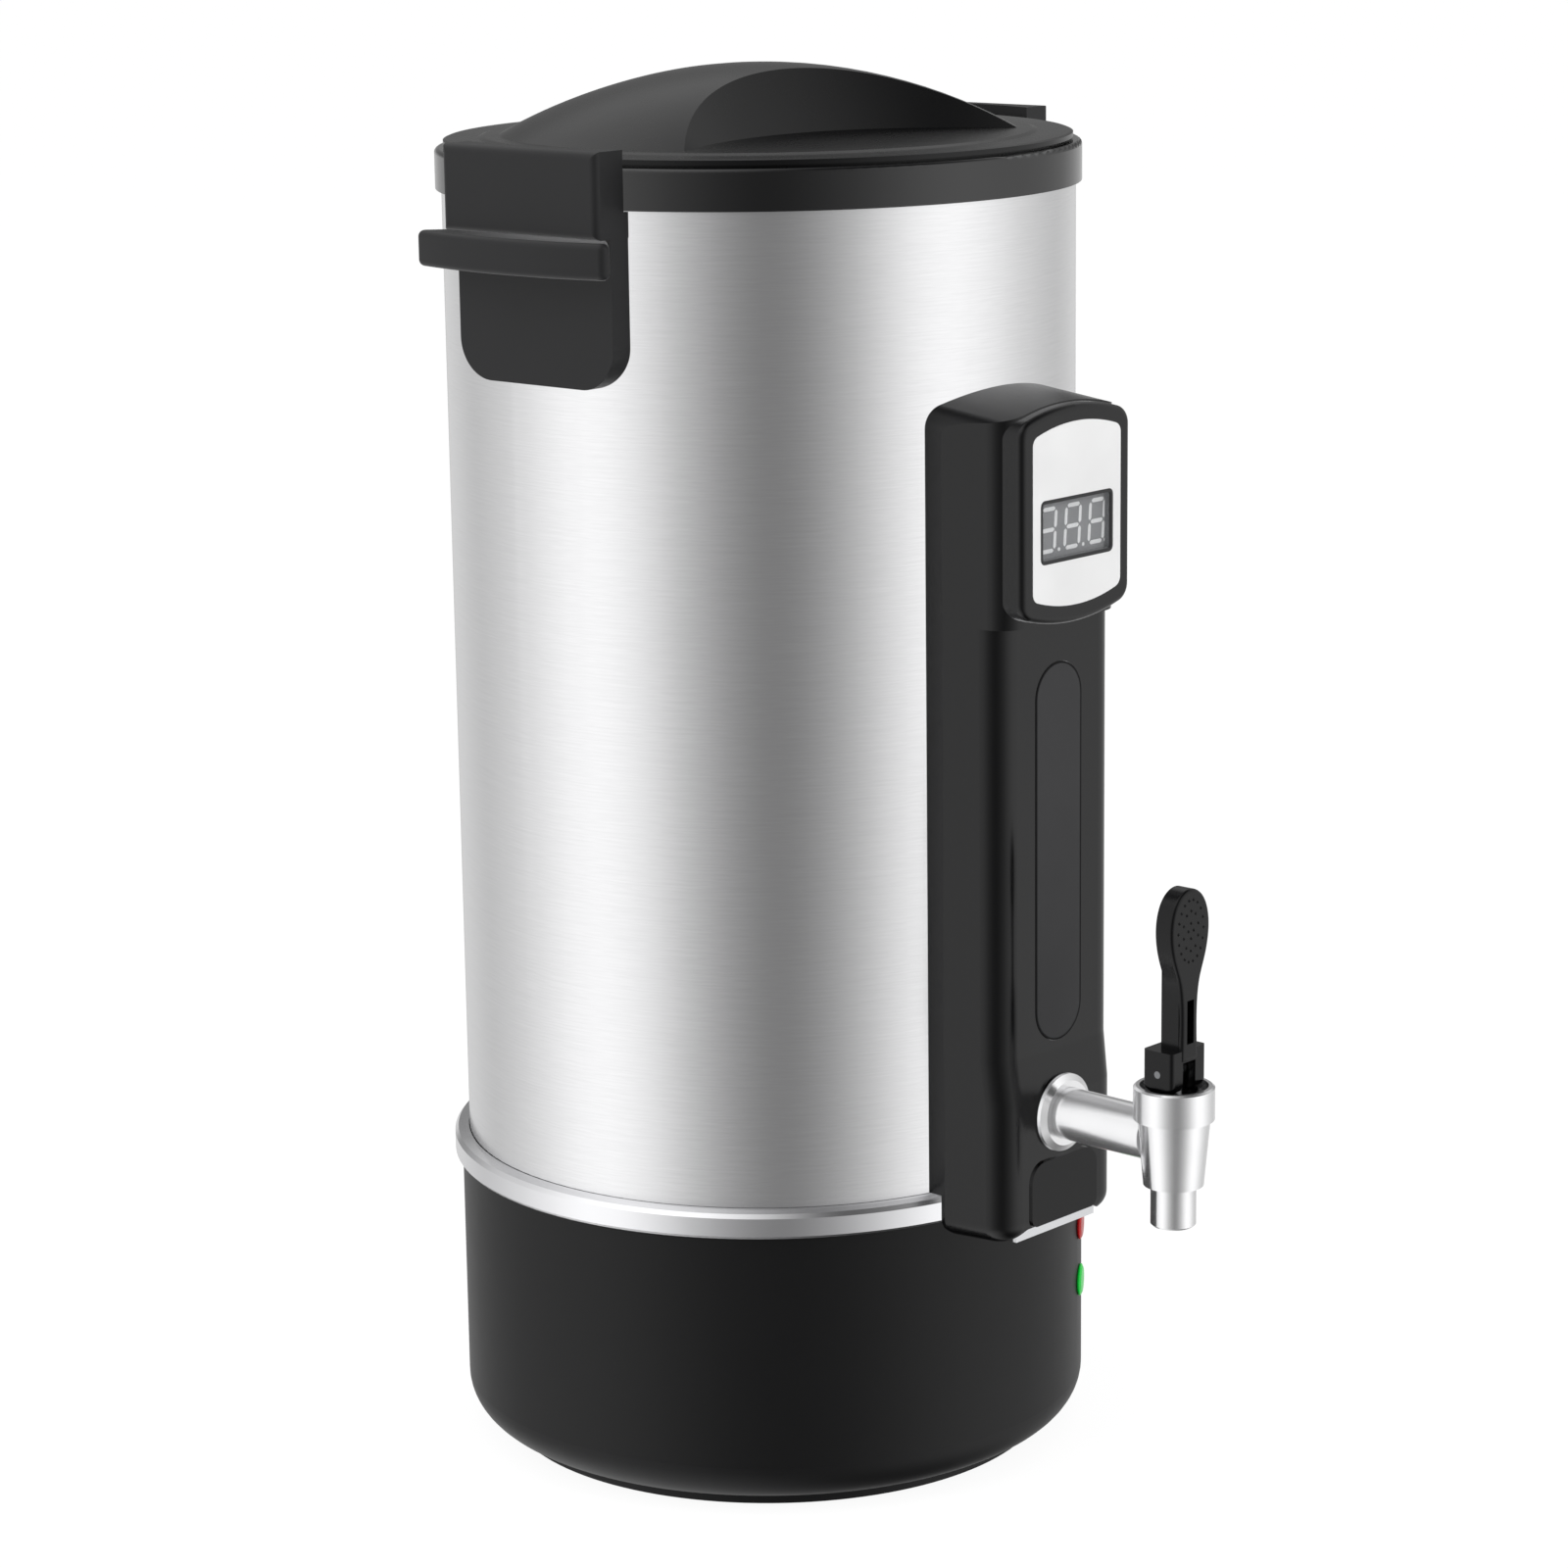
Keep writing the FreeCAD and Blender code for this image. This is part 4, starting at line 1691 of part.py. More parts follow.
def build():
    make_base_tub()
    make_bottom_cover()
    make_anti_slip_pads()
    make_cover_screws()
    make_trim_ring()
    make_outer_shell()
    make_inner_pot()
    make_insulation_sleeve()
    make_rim_collar()
    make_heater_plate()
    make_heating_element()
    make_element_retainer()
    make_retainer_nut()
    make_thermal_cutout()
    make_temperature_probe()
    make_handle("right_handle", 0)
    make_handle("left_handle", 180)
    make_handle_screws()
    make_lid_shell()
    make_lid_liner()
    make_lid_gasket()
    make_lid_screws()
    make_panel_housing()
    make_panel_screws()
    make_label_plate()
    make_display_window()
    make_display_module()
    make_display_board()
    make_board_screws()
    make_grip_inlay()
    make_screw_cover()
    make_panel_bracket()
    make_bracket_screw()
    make_tap_fittings()
    make_tap_pipe()
    make_tap_body()
    make_tap_nozzle()
    make_tap_bonnet()
    make_tap_stem()
    make_seat_cup()
    make_stem_spring()
    make_tap_lever()
    make_lever_pin()
    make_thermostat_body()
    make_thermostat_shaft()
    make_thermostat_screws()
    make_dial_plate()
    make_control_knob()
    make_lamps()
    make_power_inlet()
    make_inlet_pins()
    make_inlet_screws()
    make_terminal_block()


def write():
    """Stop on any failed object or bad shape; otherwise write one STEP file for each piece."""
    doc.recompute()
    failed = [thing.Name for thing in doc.Objects if {"Invalid", "Error"} & set(thing.State)]
    if failed:
        raise RuntimeError(f"failed objects: {failed}")
    bad = [label for label, thing in pieces.items() if thing.Shape.isNull() or not thing.Shape.isValid()]
    if bad:
        raise RuntimeError(f"bad shapes: {bad}")
    os.makedirs("parts", exist_ok=True)
    for label, thing in pieces.items():
        thing.Shape.exportStep(os.path.join("parts", f"{label}.step"))
    print(f"{len(pieces)} pieces written")


build()
write()
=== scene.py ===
import math
import bpy
import numpy as np
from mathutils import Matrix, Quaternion, Vector


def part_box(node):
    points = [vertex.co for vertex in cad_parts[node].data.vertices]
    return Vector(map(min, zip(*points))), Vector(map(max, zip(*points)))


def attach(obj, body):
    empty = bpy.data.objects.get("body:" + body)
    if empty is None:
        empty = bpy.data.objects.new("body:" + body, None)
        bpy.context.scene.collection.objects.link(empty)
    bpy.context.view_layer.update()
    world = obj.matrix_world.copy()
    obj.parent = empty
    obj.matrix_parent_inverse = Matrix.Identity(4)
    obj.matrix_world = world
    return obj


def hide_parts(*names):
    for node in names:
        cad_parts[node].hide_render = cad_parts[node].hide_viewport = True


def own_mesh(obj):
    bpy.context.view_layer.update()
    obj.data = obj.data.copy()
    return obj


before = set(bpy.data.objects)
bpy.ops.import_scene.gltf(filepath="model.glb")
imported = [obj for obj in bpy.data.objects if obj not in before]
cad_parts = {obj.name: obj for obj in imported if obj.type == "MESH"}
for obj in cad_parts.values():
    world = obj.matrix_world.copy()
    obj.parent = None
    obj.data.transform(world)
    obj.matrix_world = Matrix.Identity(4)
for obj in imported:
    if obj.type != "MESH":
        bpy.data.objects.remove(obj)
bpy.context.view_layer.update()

# ---------------------------------------------------------------- studio
# A pale floor under plain soft light, with wide white panels to the left and right of the camera and
# a dim band low behind the melter. Metal and gloss show the panels; the camera itself sees plain white.

camera_data = bpy.data.cameras.new("camera")
camera_data.sensor_width = 36
camera_data.lens = 99.7
side_shift, frame_width = 17.2, 1600
camera_data.shift_x = side_shift / frame_width
camera = bpy.data.objects.new("camera", camera_data)
bpy.context.scene.collection.objects.link(camera)
bpy.context.scene.camera = camera
camera_turn, camera_dip, camera_roll = math.radians(47), math.radians(12.97), math.radians(-0.82)
sight = Vector((math.sin(camera_turn) * math.cos(camera_dip), math.cos(camera_turn) * math.cos(camera_dip),
                -math.sin(camera_dip)))
camera.location = (-1.1094, -1.0345, 0.5841)
camera.rotation_mode = "QUATERNION"
camera.rotation_quaternion = sight.to_track_quat("-Z", "Y") @ Quaternion((0, 0, 1), camera_roll)


class Reading:
    """A value that varies over a surface. Plain sums written with it add Math nodes to its finish."""

    def __init__(self, finish, socket):
        self.finish, self.socket = finish, socket

    def work(self, operation, *values):
        return self.finish.node("ShaderNodeMath", {"operation": operation}, dict(enumerate(values)))

    def __add__(self, other):
        return self.work("ADD", self, other)

    def __sub__(self, other):
        return self.work("SUBTRACT", self, other)

    def __rsub__(self, other):
        return self.work("SUBTRACT", other, self)

    def __mul__(self, other):
        return self.work("MULTIPLY", self, other)

    def __truediv__(self, other):
        return self.work("DIVIDE", self, other)

    def __rtruediv__(self, other):
        return self.work("DIVIDE", other, self)

    def __pow__(self, other):
        return self.work("POWER", self, other)

    def __abs__(self):
        return self.work("ABSOLUTE", self)

    def over(self, other):
        return self.work("GREATER_THAN", self, other)

    def greatest(self, other):
        return self.work("MAXIMUM", self, other)

    __radd__, __rmul__ = __add__, __mul__


class Finish:
    """The node tree of a material or of the studio's world."""

    def __init__(self, owner):
        owner.use_nodes = True
        self.owner, self.tree = owner, owner.node_tree
        self.tree.nodes.clear()

    def feed(self, socket, value):
        if isinstance(value, Reading):
            self.tree.links.new(value.socket, socket)
        else:
            socket.default_value = value

    def node(self, kind, settings, sockets, result=0):
        """Adds a node of one kind: its settings come first, then the values or links of its sockets."""
        made = self.tree.nodes.new(kind)
        for name, value in settings.items():
            if name == "stops":
                stops = made.color_ramp.elements
                stops.remove(stops[1])
                stops[0].position, stops[0].color = value[0][0], (*[value[0][1]] * 3, 1)
                for place, shade in value[1:]:
                    stops.new(place).color = (shade, shade, shade, 1)
            else:
                setattr(made, name, value)
        for name, value in sockets.items():
            self.feed(made.inputs[name], value)
        return Reading(self, made.outputs[result]) if len(made.outputs) else None

    def rise(self, value, low, high):
        """A smooth step of a reading from 0 at low to 1 at high."""
        return self.node("ShaderNodeMapRange", {"interpolation_type": "SMOOTHSTEP"},
                         {"Value": value, "From Min": low, "From Max": high})

    def mix(self, share, first, second):
        """A colour between two colours."""
        return self.node("ShaderNodeMix", {"data_type": "RGBA"}, {0: share, 6: first, 7: second}, 2)

    def parts(self, vector):
        """The three parts of a vector as readings."""
        split = self.node("ShaderNodeSeparateXYZ", {}, {0: vector}).socket.node
        return [Reading(self, out) for out in split.outputs]


# The brightness of the level band goes by how far a ray points toward the camera: from straight behind the
# melter (0) to the camera (1). Above and below the band, one side is bright and the other nearly dark.
sky = Finish(bpy.data.worlds.new("studio"))
bpy.context.scene.world = sky.owner
ray = sky.node("ShaderNodeTexCoord", {}, {}, "Generated")
ray_x, ray_y, ray_z = sky.parts(ray)
level_length = (ray_x * ray_x + ray_y * ray_y + 0.0001) ** 0.5
camera_way, bright_way = (-0.694, -0.719), (-0.682, 0.731)
toward_camera = (ray_x * camera_way[0] + ray_y * camera_way[1]) / level_length
panels = sky.node("ShaderNodeValToRGB", {"stops": (
    (0, .70), (.055, .70), (.172, .61), (.281, .70), (.379, .81), (.474, .96), (.561, 1.09), (.638, 1.18),
    (.712, 1.18), (.773, 1.1), (.828, .96), (.878, .79), (.915, .62), (.95, .48), (.973, .37), (.989, .29),
    (1, .22))}, {0: toward_camera * 0.5 + 0.5})
dim_band = sky.rise(ray_z, -0.06, 0.1) * sky.rise(ray_z, 0.5, 0.3) * sky.rise(toward_camera * -1, 0.5, 0.95)
dim_share, dim_grey = 0.75, (.1, .1, .1, 1)
panels = sky.mix(dim_band * dim_share, panels, dim_grey)
bright_level, dark_level = 1.3, 0.08
toward_bright = ray_x * bright_way[0] + ray_y * bright_way[1]
overhead = sky.rise(toward_bright, -0.35, 0.5) * bright_level + dark_level
seen_in_gloss = sky.mix(sky.rise(abs(ray_z), 0.5, 0.9), panels, overhead)
ways = sky.node("ShaderNodeLightPath", {}, {}).socket.node.outputs
is_camera, is_gloss = Reading(sky, ways["Is Camera Ray"]), Reading(sky, ways["Is Glossy Ray"])
is_through = Reading(sky, ways["Is Transmission Ray"])
fill_grey, plain_white = (.62, .62, .62, 1), (1, 1, 1, 1)
soft_fill = sky.mix(is_gloss, fill_grey, seen_in_gloss)
shown = sky.mix(is_camera.greatest(is_through), soft_fill, plain_white)
sky.node("ShaderNodeOutputWorld", {}, {0: sky.node("ShaderNodeBackground", {}, {0: shown, 1: 1.0})})


def lamp(name, turn, height, distance, size, power):
    """A square soft lamp that faces the melter's middle. Turn is in degrees about the melter from the camera's
    side, height in degrees above the floor, distance and size in metres, power in watts."""
    data = bpy.data.lights.new(name, "AREA")
    data.size, data.energy = size, power
    made = bpy.data.objects.new(name, data)
    bpy.context.scene.collection.objects.link(made)
    around, up = camera_turn + math.radians(180 - turn), math.radians(height)
    way = Vector((math.sin(around) * math.cos(up), math.cos(around) * math.cos(up), math.sin(up)))
    melter_middle = Vector((0, 0, 0.25))
    made.location = melter_middle + way * distance
    made.rotation_mode = "QUATERNION"
    made.rotation_quaternion = (-way).to_track_quat("-Z", "Y")
    made.visible_glossy = False


lamp("key_lamp", turn=-55, height=38, distance=2.2, size=1.4, power=16)
lamp("fill_lamp", turn=60, height=30, distance=2.2, size=1.4, power=13)
lamp("top_lamp", turn=0, height=84, distance=2.0, size=1.6, power=9)

# To the camera the floor is mostly plain glow, which keeps a faint shadow. Gloss, and a camera below it,
# look through it.
floor_reach = 14.0
floor_mesh = bpy.data.meshes.new("floor")
floor_mesh.from_pydata([(-floor_reach, -floor_reach, 0), (floor_reach, -floor_reach, 0),
                        (floor_reach, floor_reach, 0), (-floor_reach, floor_reach, 0)], [], [(0, 1, 2, 3)])
floor = bpy.data.objects.new("floor", floor_mesh)
bpy.context.scene.collection.objects.link(floor)
ground = Finish(bpy.data.materials.new("pale_floor"))
ways = ground.node("ShaderNodeLightPath", {}, {}).socket.node.outputs
is_camera, is_gloss = Reading(ground, ways["Is Camera Ray"]), Reading(ground, ways["Is Glossy Ray"])
from_below = ground.node("ShaderNodeNewGeometry", {}, {}, "Backfacing") * is_camera
paper_grey, glow_strength, glow_share = (.84, .84, .84, 1), 1.08, 0.86
paper = ground.node("ShaderNodeBsdfDiffuse", {}, {0: paper_grey})
glow = ground.node("ShaderNodeEmission", {}, {0: plain_white, 1: glow_strength})
lit = ground.node("ShaderNodeMixShader", {}, {0: is_camera * glow_share, 1: paper, 2: glow})
open_air = ground.node("ShaderNodeBsdfTransparent", {}, {})
floor_look = ground.node("ShaderNodeMixShader", {}, {0: is_gloss.greatest(from_below), 1: lit, 2: open_air})
ground.node("ShaderNodeOutputMaterial", {}, {0: floor_look})
floor_mesh.materials.append(ground.owner)
bpy.context.scene.view_settings.view_transform = "Standard"


# ---------------------------------------------------------------- base tub, bottom cover, pads and screws
# The tub is injection moulded heat-proof plastic, satin black with a very fine spark-eroded grain.
# A flat cover closes it below, held by four zinc screws, and rubber pads are glued to the cover.

def tone(red, green, blue):
    """Screen numbers from 0 to 255 as a linear colour."""
    share = np.array([red, green, blue]) / 255
    return (*np.where(share > 0.04045, ((share + 0.055) / 1.055) ** 2.4, share / 12.92).tolist(), 1)


def dimmed(colour, share):
    """The colour with its red, green and blue times share."""
    return tuple(part * share for part in colour[:3]) + (1,)


def surface(name, constants):
    """A new finish with its main shader. Values that are the same all over go on the shader's own sockets."""
    finish = Finish(bpy.data.materials.new(name))
    finish.place = finish.node("ShaderNodeTexCoord", {}, {}, "Object")
    finish.shader = finish.node("ShaderNodeBsdfPrincipled", {}, constants)
    finish.node("ShaderNodeOutputMaterial", {}, {0: finish.shader})
    return finish


def speckle(finish, size, detail=2.0, stretch=(1, 1, 1)):
    """Soft noise from 0 to 1 with spots of the given size in metres, pulled out along an axis by stretch."""
    scale = tuple(1 / size / pull for pull in stretch)
    place = finish.node("ShaderNodeMapping", {}, {0: finish.place, 3: scale})
    return finish.node("ShaderNodeTexNoise", {}, {"Vector": place, "Scale": 1.0, "Detail": detail})


def drive(finish, **readings):
    """Feeds the shader's varying sockets: colour, roughness, glow, alpha and bump height in metres."""
    sockets = finish.shader.socket.node.inputs
    names = {"colour": "Base Color", "roughness": "Roughness", "glow": "Emission Color", "alpha": "Alpha"}
    for name, value in readings.items():
        if name == "height":
            finish.feed(sockets["Normal"],
                        finish.node("ShaderNodeBump", {}, {"Strength": 1.0, "Distance": 1.0, "Height": value}))
        else:
            finish.feed(sockets[names[name]], value)


def moulded(name, colour, roughness, grain=0.0006, depth=4e-6, gloss=0.5):
    """Moulded plastic: grain in the bump, flow clouds in the colour and handling marks in the gloss."""
    finish = surface(name, {"Specular IOR Level": gloss})
    clouds, marks, pits = speckle(finish, 0.045, 3), speckle(finish, 0.012, 4), speckle(finish, grain, 2)
    drive(finish, colour=finish.mix(clouds, dimmed(colour, 0.86), dimmed(colour, 1.14)),
          roughness=roughness - 0.04 + 0.05 * clouds + 0.035 * marks, height=pits * depth)
    return finish.owner


def metal(name, colour, roughness, scratch=0.03, depth=3e-6, stretch=(1, 1, 1)):
    """Bare metal: faint clouds in the colour, wiping marks in the gloss and hairlines in the bump."""
    finish = surface(name, {"Metallic": 1.0})
    clouds, marks = speckle(finish, 0.02, 3), speckle(finish, 0.006, 4, stretch)
    hairs = speckle(finish, 0.0008, 2, stretch)
    drive(finish, colour=finish.mix(clouds, dimmed(colour, 0.94), dimmed(colour, 1.03)),
          roughness=roughness + scratch * (marks - 0.5) * 2, height=hairs * depth)
    return finish.owner


def dress(material, *nodes):
    """Gives CAD nodes their finish."""
    for name in nodes:
        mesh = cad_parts[name].data
        if not mesh.materials:
            mesh.materials.append(material)
        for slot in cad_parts[name].material_slots:
            slot.material = material


dress(moulded("satin_black_tub", tone(13, 13, 14), roughness=0.42, grain=0.0006, depth=3e-6, gloss=0.24),
      "base_tub")
dress(moulded("satin_black_cover", tone(20, 20, 21), roughness=0.5, grain=0.0009, depth=8e-6, gloss=0.25),
      "bottom_cover")
dress(moulded("rubber_pad", tone(70, 70, 70), roughness=0.85, grain=0.0012, depth=2e-5, gloss=0.3),
      "anti_slip_pads")
zinc = metal("zinc_plated_steel", tone(196, 199, 204), roughness=0.34, scratch=0.06)
dress(zinc, "cover_screws")

# ---------------------------------------------------------------- trim ring
# A spun band of bright steel that hides the joint between tub and wall. It is polished and pressed over
# the tub's upper edge, so it has round hairlines and a soft mirror.

dress(metal("polished_band", tone(238, 238, 240), roughness=0.16, scratch=0.03, depth=1e-6), "trim_ring")

# ---------------------------------------------------------------- outer wall
# Rolled stainless sheet, brushed round the body before it is rolled, so the hairlines run level.
# The sheet's two edges meet in a ground weld down the middle of the back.

wall = surface("brushed_steel", {"Metallic": 1.0, "Anisotropic": 0.7, "Anisotropic Rotation": 0.25})
wall_x, wall_y, wall_z = wall.parts(wall.place)
wall_radius, weld_half, weld_edge, rear_side = 0.11, 0.0012, 0.001, 0.05
round_way = wall_x.work("ARCTAN2", wall_x, wall_y * -1) * wall_radius


def hairlines(length, width):
    """Noise drawn out along the wall's round: level streaks of the given length and width in metres."""
    place = wall.node("ShaderNodeCombineXYZ", {}, {0: round_way / length, 1: 0.0, 2: wall_z / width})
    return wall.node("ShaderNodeTexNoise", {}, {"Vector": place, "Scale": 1.0, "Detail": 2.0})


coarse, fine, short = hairlines(0.05, 0.0022), hairlines(0.022, 0.0005), hairlines(0.006, 0.0003)
weld = wall.rise(abs(wall_x), weld_half + weld_edge, weld_half) * wall_y.over(rear_side)
grind = coarse * 0.12 + fine * 0.5 + short * 0.38
shade = wall.mix(wall.rise(grind, 0.3, 0.7), tone(229, 229, 230), tone(236, 236, 237))
drive(wall, colour=wall.mix(weld * 0.5, shade, tone(196, 196, 198)),
      roughness=0.25 + 0.02 * (fine - 0.5) + 0.12 * weld, height=(fine + short) * 3.6e-7 + weld * 6e-5)
dress(wall.owner, "outer_shell")

# ---------------------------------------------------------------- inner pot, sleeve and heater
# Deep-drawn steel pot with a drain port, wrapped in needled felt. Below it a cast aluminium plate
# carries the sheathed ring element, its pressed retainer and nut, and the bakelite cut-out.

dress(metal("drawn_steel", tone(205, 205, 207), roughness=0.3, scratch=0.05, depth=4e-6, stretch=(1, 1, 8)),
      "inner_pot")


def felt(name, colour):
    """Needled felt: matted fibres as two sizes of knotted noise, with fluffy bump and no gloss."""
    finish = surface(name, {"Specular IOR Level": 0.1, "Sheen Weight": 0.3})
    tufts, fibres = speckle(finish, 0.004, 5), speckle(finish, 0.0009, 4, (1, 3, 1))
    drive(finish, colour=finish.mix(tufts * 0.6 + fibres * 0.4, dimmed(colour, 0.75), colour),
          roughness=0.9 + 0.08 * fibres, height=tufts * 0.0004 + fibres * 0.0002)
    return finish.owner


dress(felt("needled_felt", tone(226, 222, 212)), "insulation_sleeve")
dress(metal("cast_aluminium", tone(176, 177, 178), roughness=0.5, scratch=0.08, depth=3e-5), "heater_plate")
dress(metal("heated_sheath", tone(120, 112, 104), roughness=0.42, scratch=0.08, depth=1e-5), "heating_element")
dress(zinc, "element_retainer", "retainer_nut")
dress(moulded("brown_bakelite", tone(62, 38, 28), roughness=0.4, grain=0.0012, depth=1e-5), "thermal_cutout")
bright = metal("bright_steel", tone(222, 223, 225), roughness=0.2, scratch=0.05)
dress(bright, "temperature_probe")

# ---------------------------------------------------------------- rim collar
# A moulded gloss black ring that clips over the rolled rim and carries the lid. Its outer band is
# polished in the mould, so it mirrors the studio as soft level shades.

dress(moulded("gloss_black_collar", tone(5, 5, 6), roughness=0.12, grain=0.0015, depth=6e-7, gloss=0.7),
      "rim_collar")

# ---------------------------------------------------------------- side handles
# Two hollow phenolic mouldings, each an upper block with a grip ledge and a flap that lies against the
# wall. Their satin skin is even and slightly greyer than the tub. Screws hold them from inside.

dress(moulded("phenolic_handle", tone(33, 33, 34), roughness=0.42, grain=0.0005, depth=4e-6, gloss=0.24),
      "right_handle", "left_handle")
dress(zinc, "handle_screws")


def unmirrored(*names):
    """Leaves pieces out of mirror images: the steel wall and the tap show the studio alone."""
    for name in names:
        bpy.data.objects[name].visible_glossy = False


unmirrored("right_handle", "left_handle", "handle_screws")

# ---------------------------------------------------------------- control column
# A deep moulded housing in satin black with a display head at the top and a long soft-touch inlay.
# A small gloss pad hides the screw under the tap, and a bright steel bracket shows below the pad.

dress(moulded("satin_black_column", tone(5, 5, 6), roughness=0.22, grain=0.0007, depth=1.5e-6, gloss=0.37),
      "panel_housing")
dress(zinc, "panel_screws", "board_screws", "bracket_screw")
inlay_low, inlay_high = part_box("grip_inlay")
inlay = surface("soft_touch_inlay", {"Specular IOR Level": 0.12})
inlay_x, _, inlay_z = inlay.parts(inlay.place)
inlay_half, edge_width, edge_inset = (inlay_high[0] - inlay_low[0]) / 2, 0.0009, 0.0004
past_straight = (inlay_z - (inlay_high[2] - inlay_half)).greatest(inlay_low[2] + inlay_half - inlay_z)
past_straight = past_straight.greatest(0.0)
off_middle = (inlay_x * inlay_x + past_straight * past_straight) ** 0.5
# Painted shade: the inlay's colour darkens to near black along its rounded outline, where the edge turns into
# shade.
edge_painted_shade = inlay.rise(off_middle, inlay_half - edge_width, inlay_half - edge_inset)
soft_grey = inlay.mix(speckle(inlay, 0.03, 3), tone(61, 61, 62), tone(66, 66, 67))
drive(inlay, colour=inlay.mix(edge_painted_shade, soft_grey, tone(14, 14, 15)),
      roughness=0.64 + 0.06 * speckle(inlay, 0.01, 3), height=speckle(inlay, 0.0008) * 1e-5)
dress(inlay.owner, "grip_inlay")
dress(moulded("gloss_black_pad", tone(6, 6, 7), roughness=0.22, grain=0.002, depth=1e-6, gloss=0.24),
      "screw_cover")
dress(bright, "panel_bracket")
dress(moulded("board_resin", tone(24, 84, 46), roughness=0.45, grain=0.0016, depth=1e-5), "display_board")
unmirrored("panel_housing", "panel_screws", "grip_inlay", "screw_cover", "panel_bracket", "bracket_screw",
           "display_board", "board_screws")

# ---------------------------------------------------------------- label plate and display
# The plate is white polycarbonate with a bare satin face. Its opening has a black printed edge and a
# smoked window, and behind that sits the cast resin digit block with three seven-segment figures, which
# carry a painted glow though the display is unlit.

dress(moulded("white_label", tone(238, 238, 238), roughness=0.42, grain=0.0008, depth=2e-6, gloss=0.4),
      "label_plate")

window = surface("smoked_window", {"Specular IOR Level": 0.3})
window_low, window_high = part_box("display_window")
window_half, window_middle = (window_high - window_low) / 2, (window_high + window_low) / 2
window_x, _, window_z = window.parts(window.place)
frost_start, frost_full, smoke = 0.0005, 0.0003, 0.12
frosted_side = window.rise(abs(window_x), window_half[0] - frost_start, window_half[0] - frost_full).greatest(
    window.rise(abs(window_z - window_middle[2]), window_half[2] - frost_start, window_half[2] - frost_full))
drive(window, colour=window.mix(speckle(window, 0.01), tone(118, 120, 122), tone(132, 134, 136)),
      roughness=0.1 + 0.03 * speckle(window, 0.004) + 0.3 * frosted_side,
      alpha=smoke + (1 - smoke) * frosted_side)
dress(window.owner, "display_window")


def add_piece(name, points, faces, body, material, smooth=False):
    """Makes a mesh object of points in metres and index rows, and lets it ride on a body."""
    mesh = bpy.data.meshes.new(name)
    mesh.from_pydata(np.asarray(points).reshape(-1, 3).tolist(), [], [list(row) for row in faces])
    mesh.polygons.foreach_set("use_smooth", np.full(len(mesh.polygons), smooth))
    mesh.materials.append(material)
    mesh.update()
    made = bpy.data.objects.new(name, mesh)
    bpy.context.scene.collection.objects.link(made)
    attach(made, body)
    return made


def grid_faces(rows, columns, closed_rows=False, closed_columns=False):
    """Index rows of the four-sided faces between neighbours of a grid of rows by columns."""
    row, column = np.meshgrid(np.arange(rows if closed_rows else rows - 1),
                              np.arange(columns if closed_columns else columns - 1), indexing="ij")
    after, beside = (row + 1) % rows, (column + 1) % columns
    return np.stack([row * columns + column, after * columns + column, after * columns + beside,
                     row * columns + beside], -1).reshape(-1, 4)


def plates(outlines, front, back):
    """Flat plates in the panel's plane: each outline of (across, up) points gives a front face at depth
    front, a rear face at depth back and one side face per edge. Depths are measured toward the tap."""
    outlines = np.asarray(outlines)
    count, edge = outlines.shape[:2]
    points = np.stack([np.stack([outlines[..., 0], np.full((count, edge), -depth), outlines[..., 1]], -1)
                       for depth in (front, back)], 1)
    start = (np.arange(count) * 2 * edge)[:, None]
    ring = np.arange(edge)
    following = (ring + 1) % edge
    sides = np.stack([start + ring, start + edge + ring, start + edge + following, start + following], -1)
    faces = list(start + ring) + list(start + edge + ring[::-1]) + list(sides.reshape(-1, 4))
    return points, faces


# The digit block: one plate with its four corners cut off.
block_low, block_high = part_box("display_module")
left, right, bottom, top = block_low[0], block_high[0], block_low[2], block_high[2]
display_middle = (bottom + top) / 2
figure_face, block_back, cut = 0.1393, 0.1315, 0.0006
block_outline = np.array([(left, bottom + cut), (left + cut, bottom), (right - cut, bottom),
                          (right, bottom + cut), (right, top - cut), (right - cut, top),
                          (left + cut, top), (left, top - cut)])
points, faces = plates(block_outline[None], figure_face, block_back)
block = add_piece("display_block", points, faces, "housing",
                  moulded("display_resin", tone(152, 153, 155), roughness=0.5, grain=0.0009, depth=4e-6,
                          gloss=0.35))
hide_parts("display_module")

# Each figure has seven six-sided bars. A row of bars says where its middle is, across and up in half
# figures, and whether it stands upright. All points lean to the right by their height times lean.
figure_middles = np.array([-0.0119, 0.0009, 0.0136])
half_high, half_wide, bar_half, bar_cut, lean = 0.0070, 0.0037, 0.00068, 0.0010, 0.075
figure_proud, figure_sunk = 0.0001, 0.0002
bars = np.array([(0, 1, 0), (0, 0, 0), (0, -1, 0), (1, .5, 1), (1, -.5, 1), (-1, .5, 1), (-1, -.5, 1)], float)
reach = np.where(bars[:, 2] > 0, half_high / 2, half_wide)[:, None] - bar_cut / 2
shoulder = reach - bar_half
along = np.concatenate([reach, shoulder, -shoulder, -reach, -shoulder, shoulder], 1)
aside = np.array([0, bar_half, bar_half, 0, -bar_half, -bar_half])[None].repeat(7, 0)
upright = bars[:, 2:] > 0
bar_across = np.where(upright, -aside, along) + bars[:, :1] * half_wide
bar_up = np.where(upright, along, aside) + bars[:, 1:2] * half_high
figures = np.stack([figure_middles[:, None, None] + (bar_across + lean * bar_up)[None],
                    np.broadcast_to(display_middle + bar_up, (3, 7, 6))], -1).reshape(-1, 6, 2)
points, faces = plates(figures, figure_face + figure_proud, figure_face - figure_sunk)
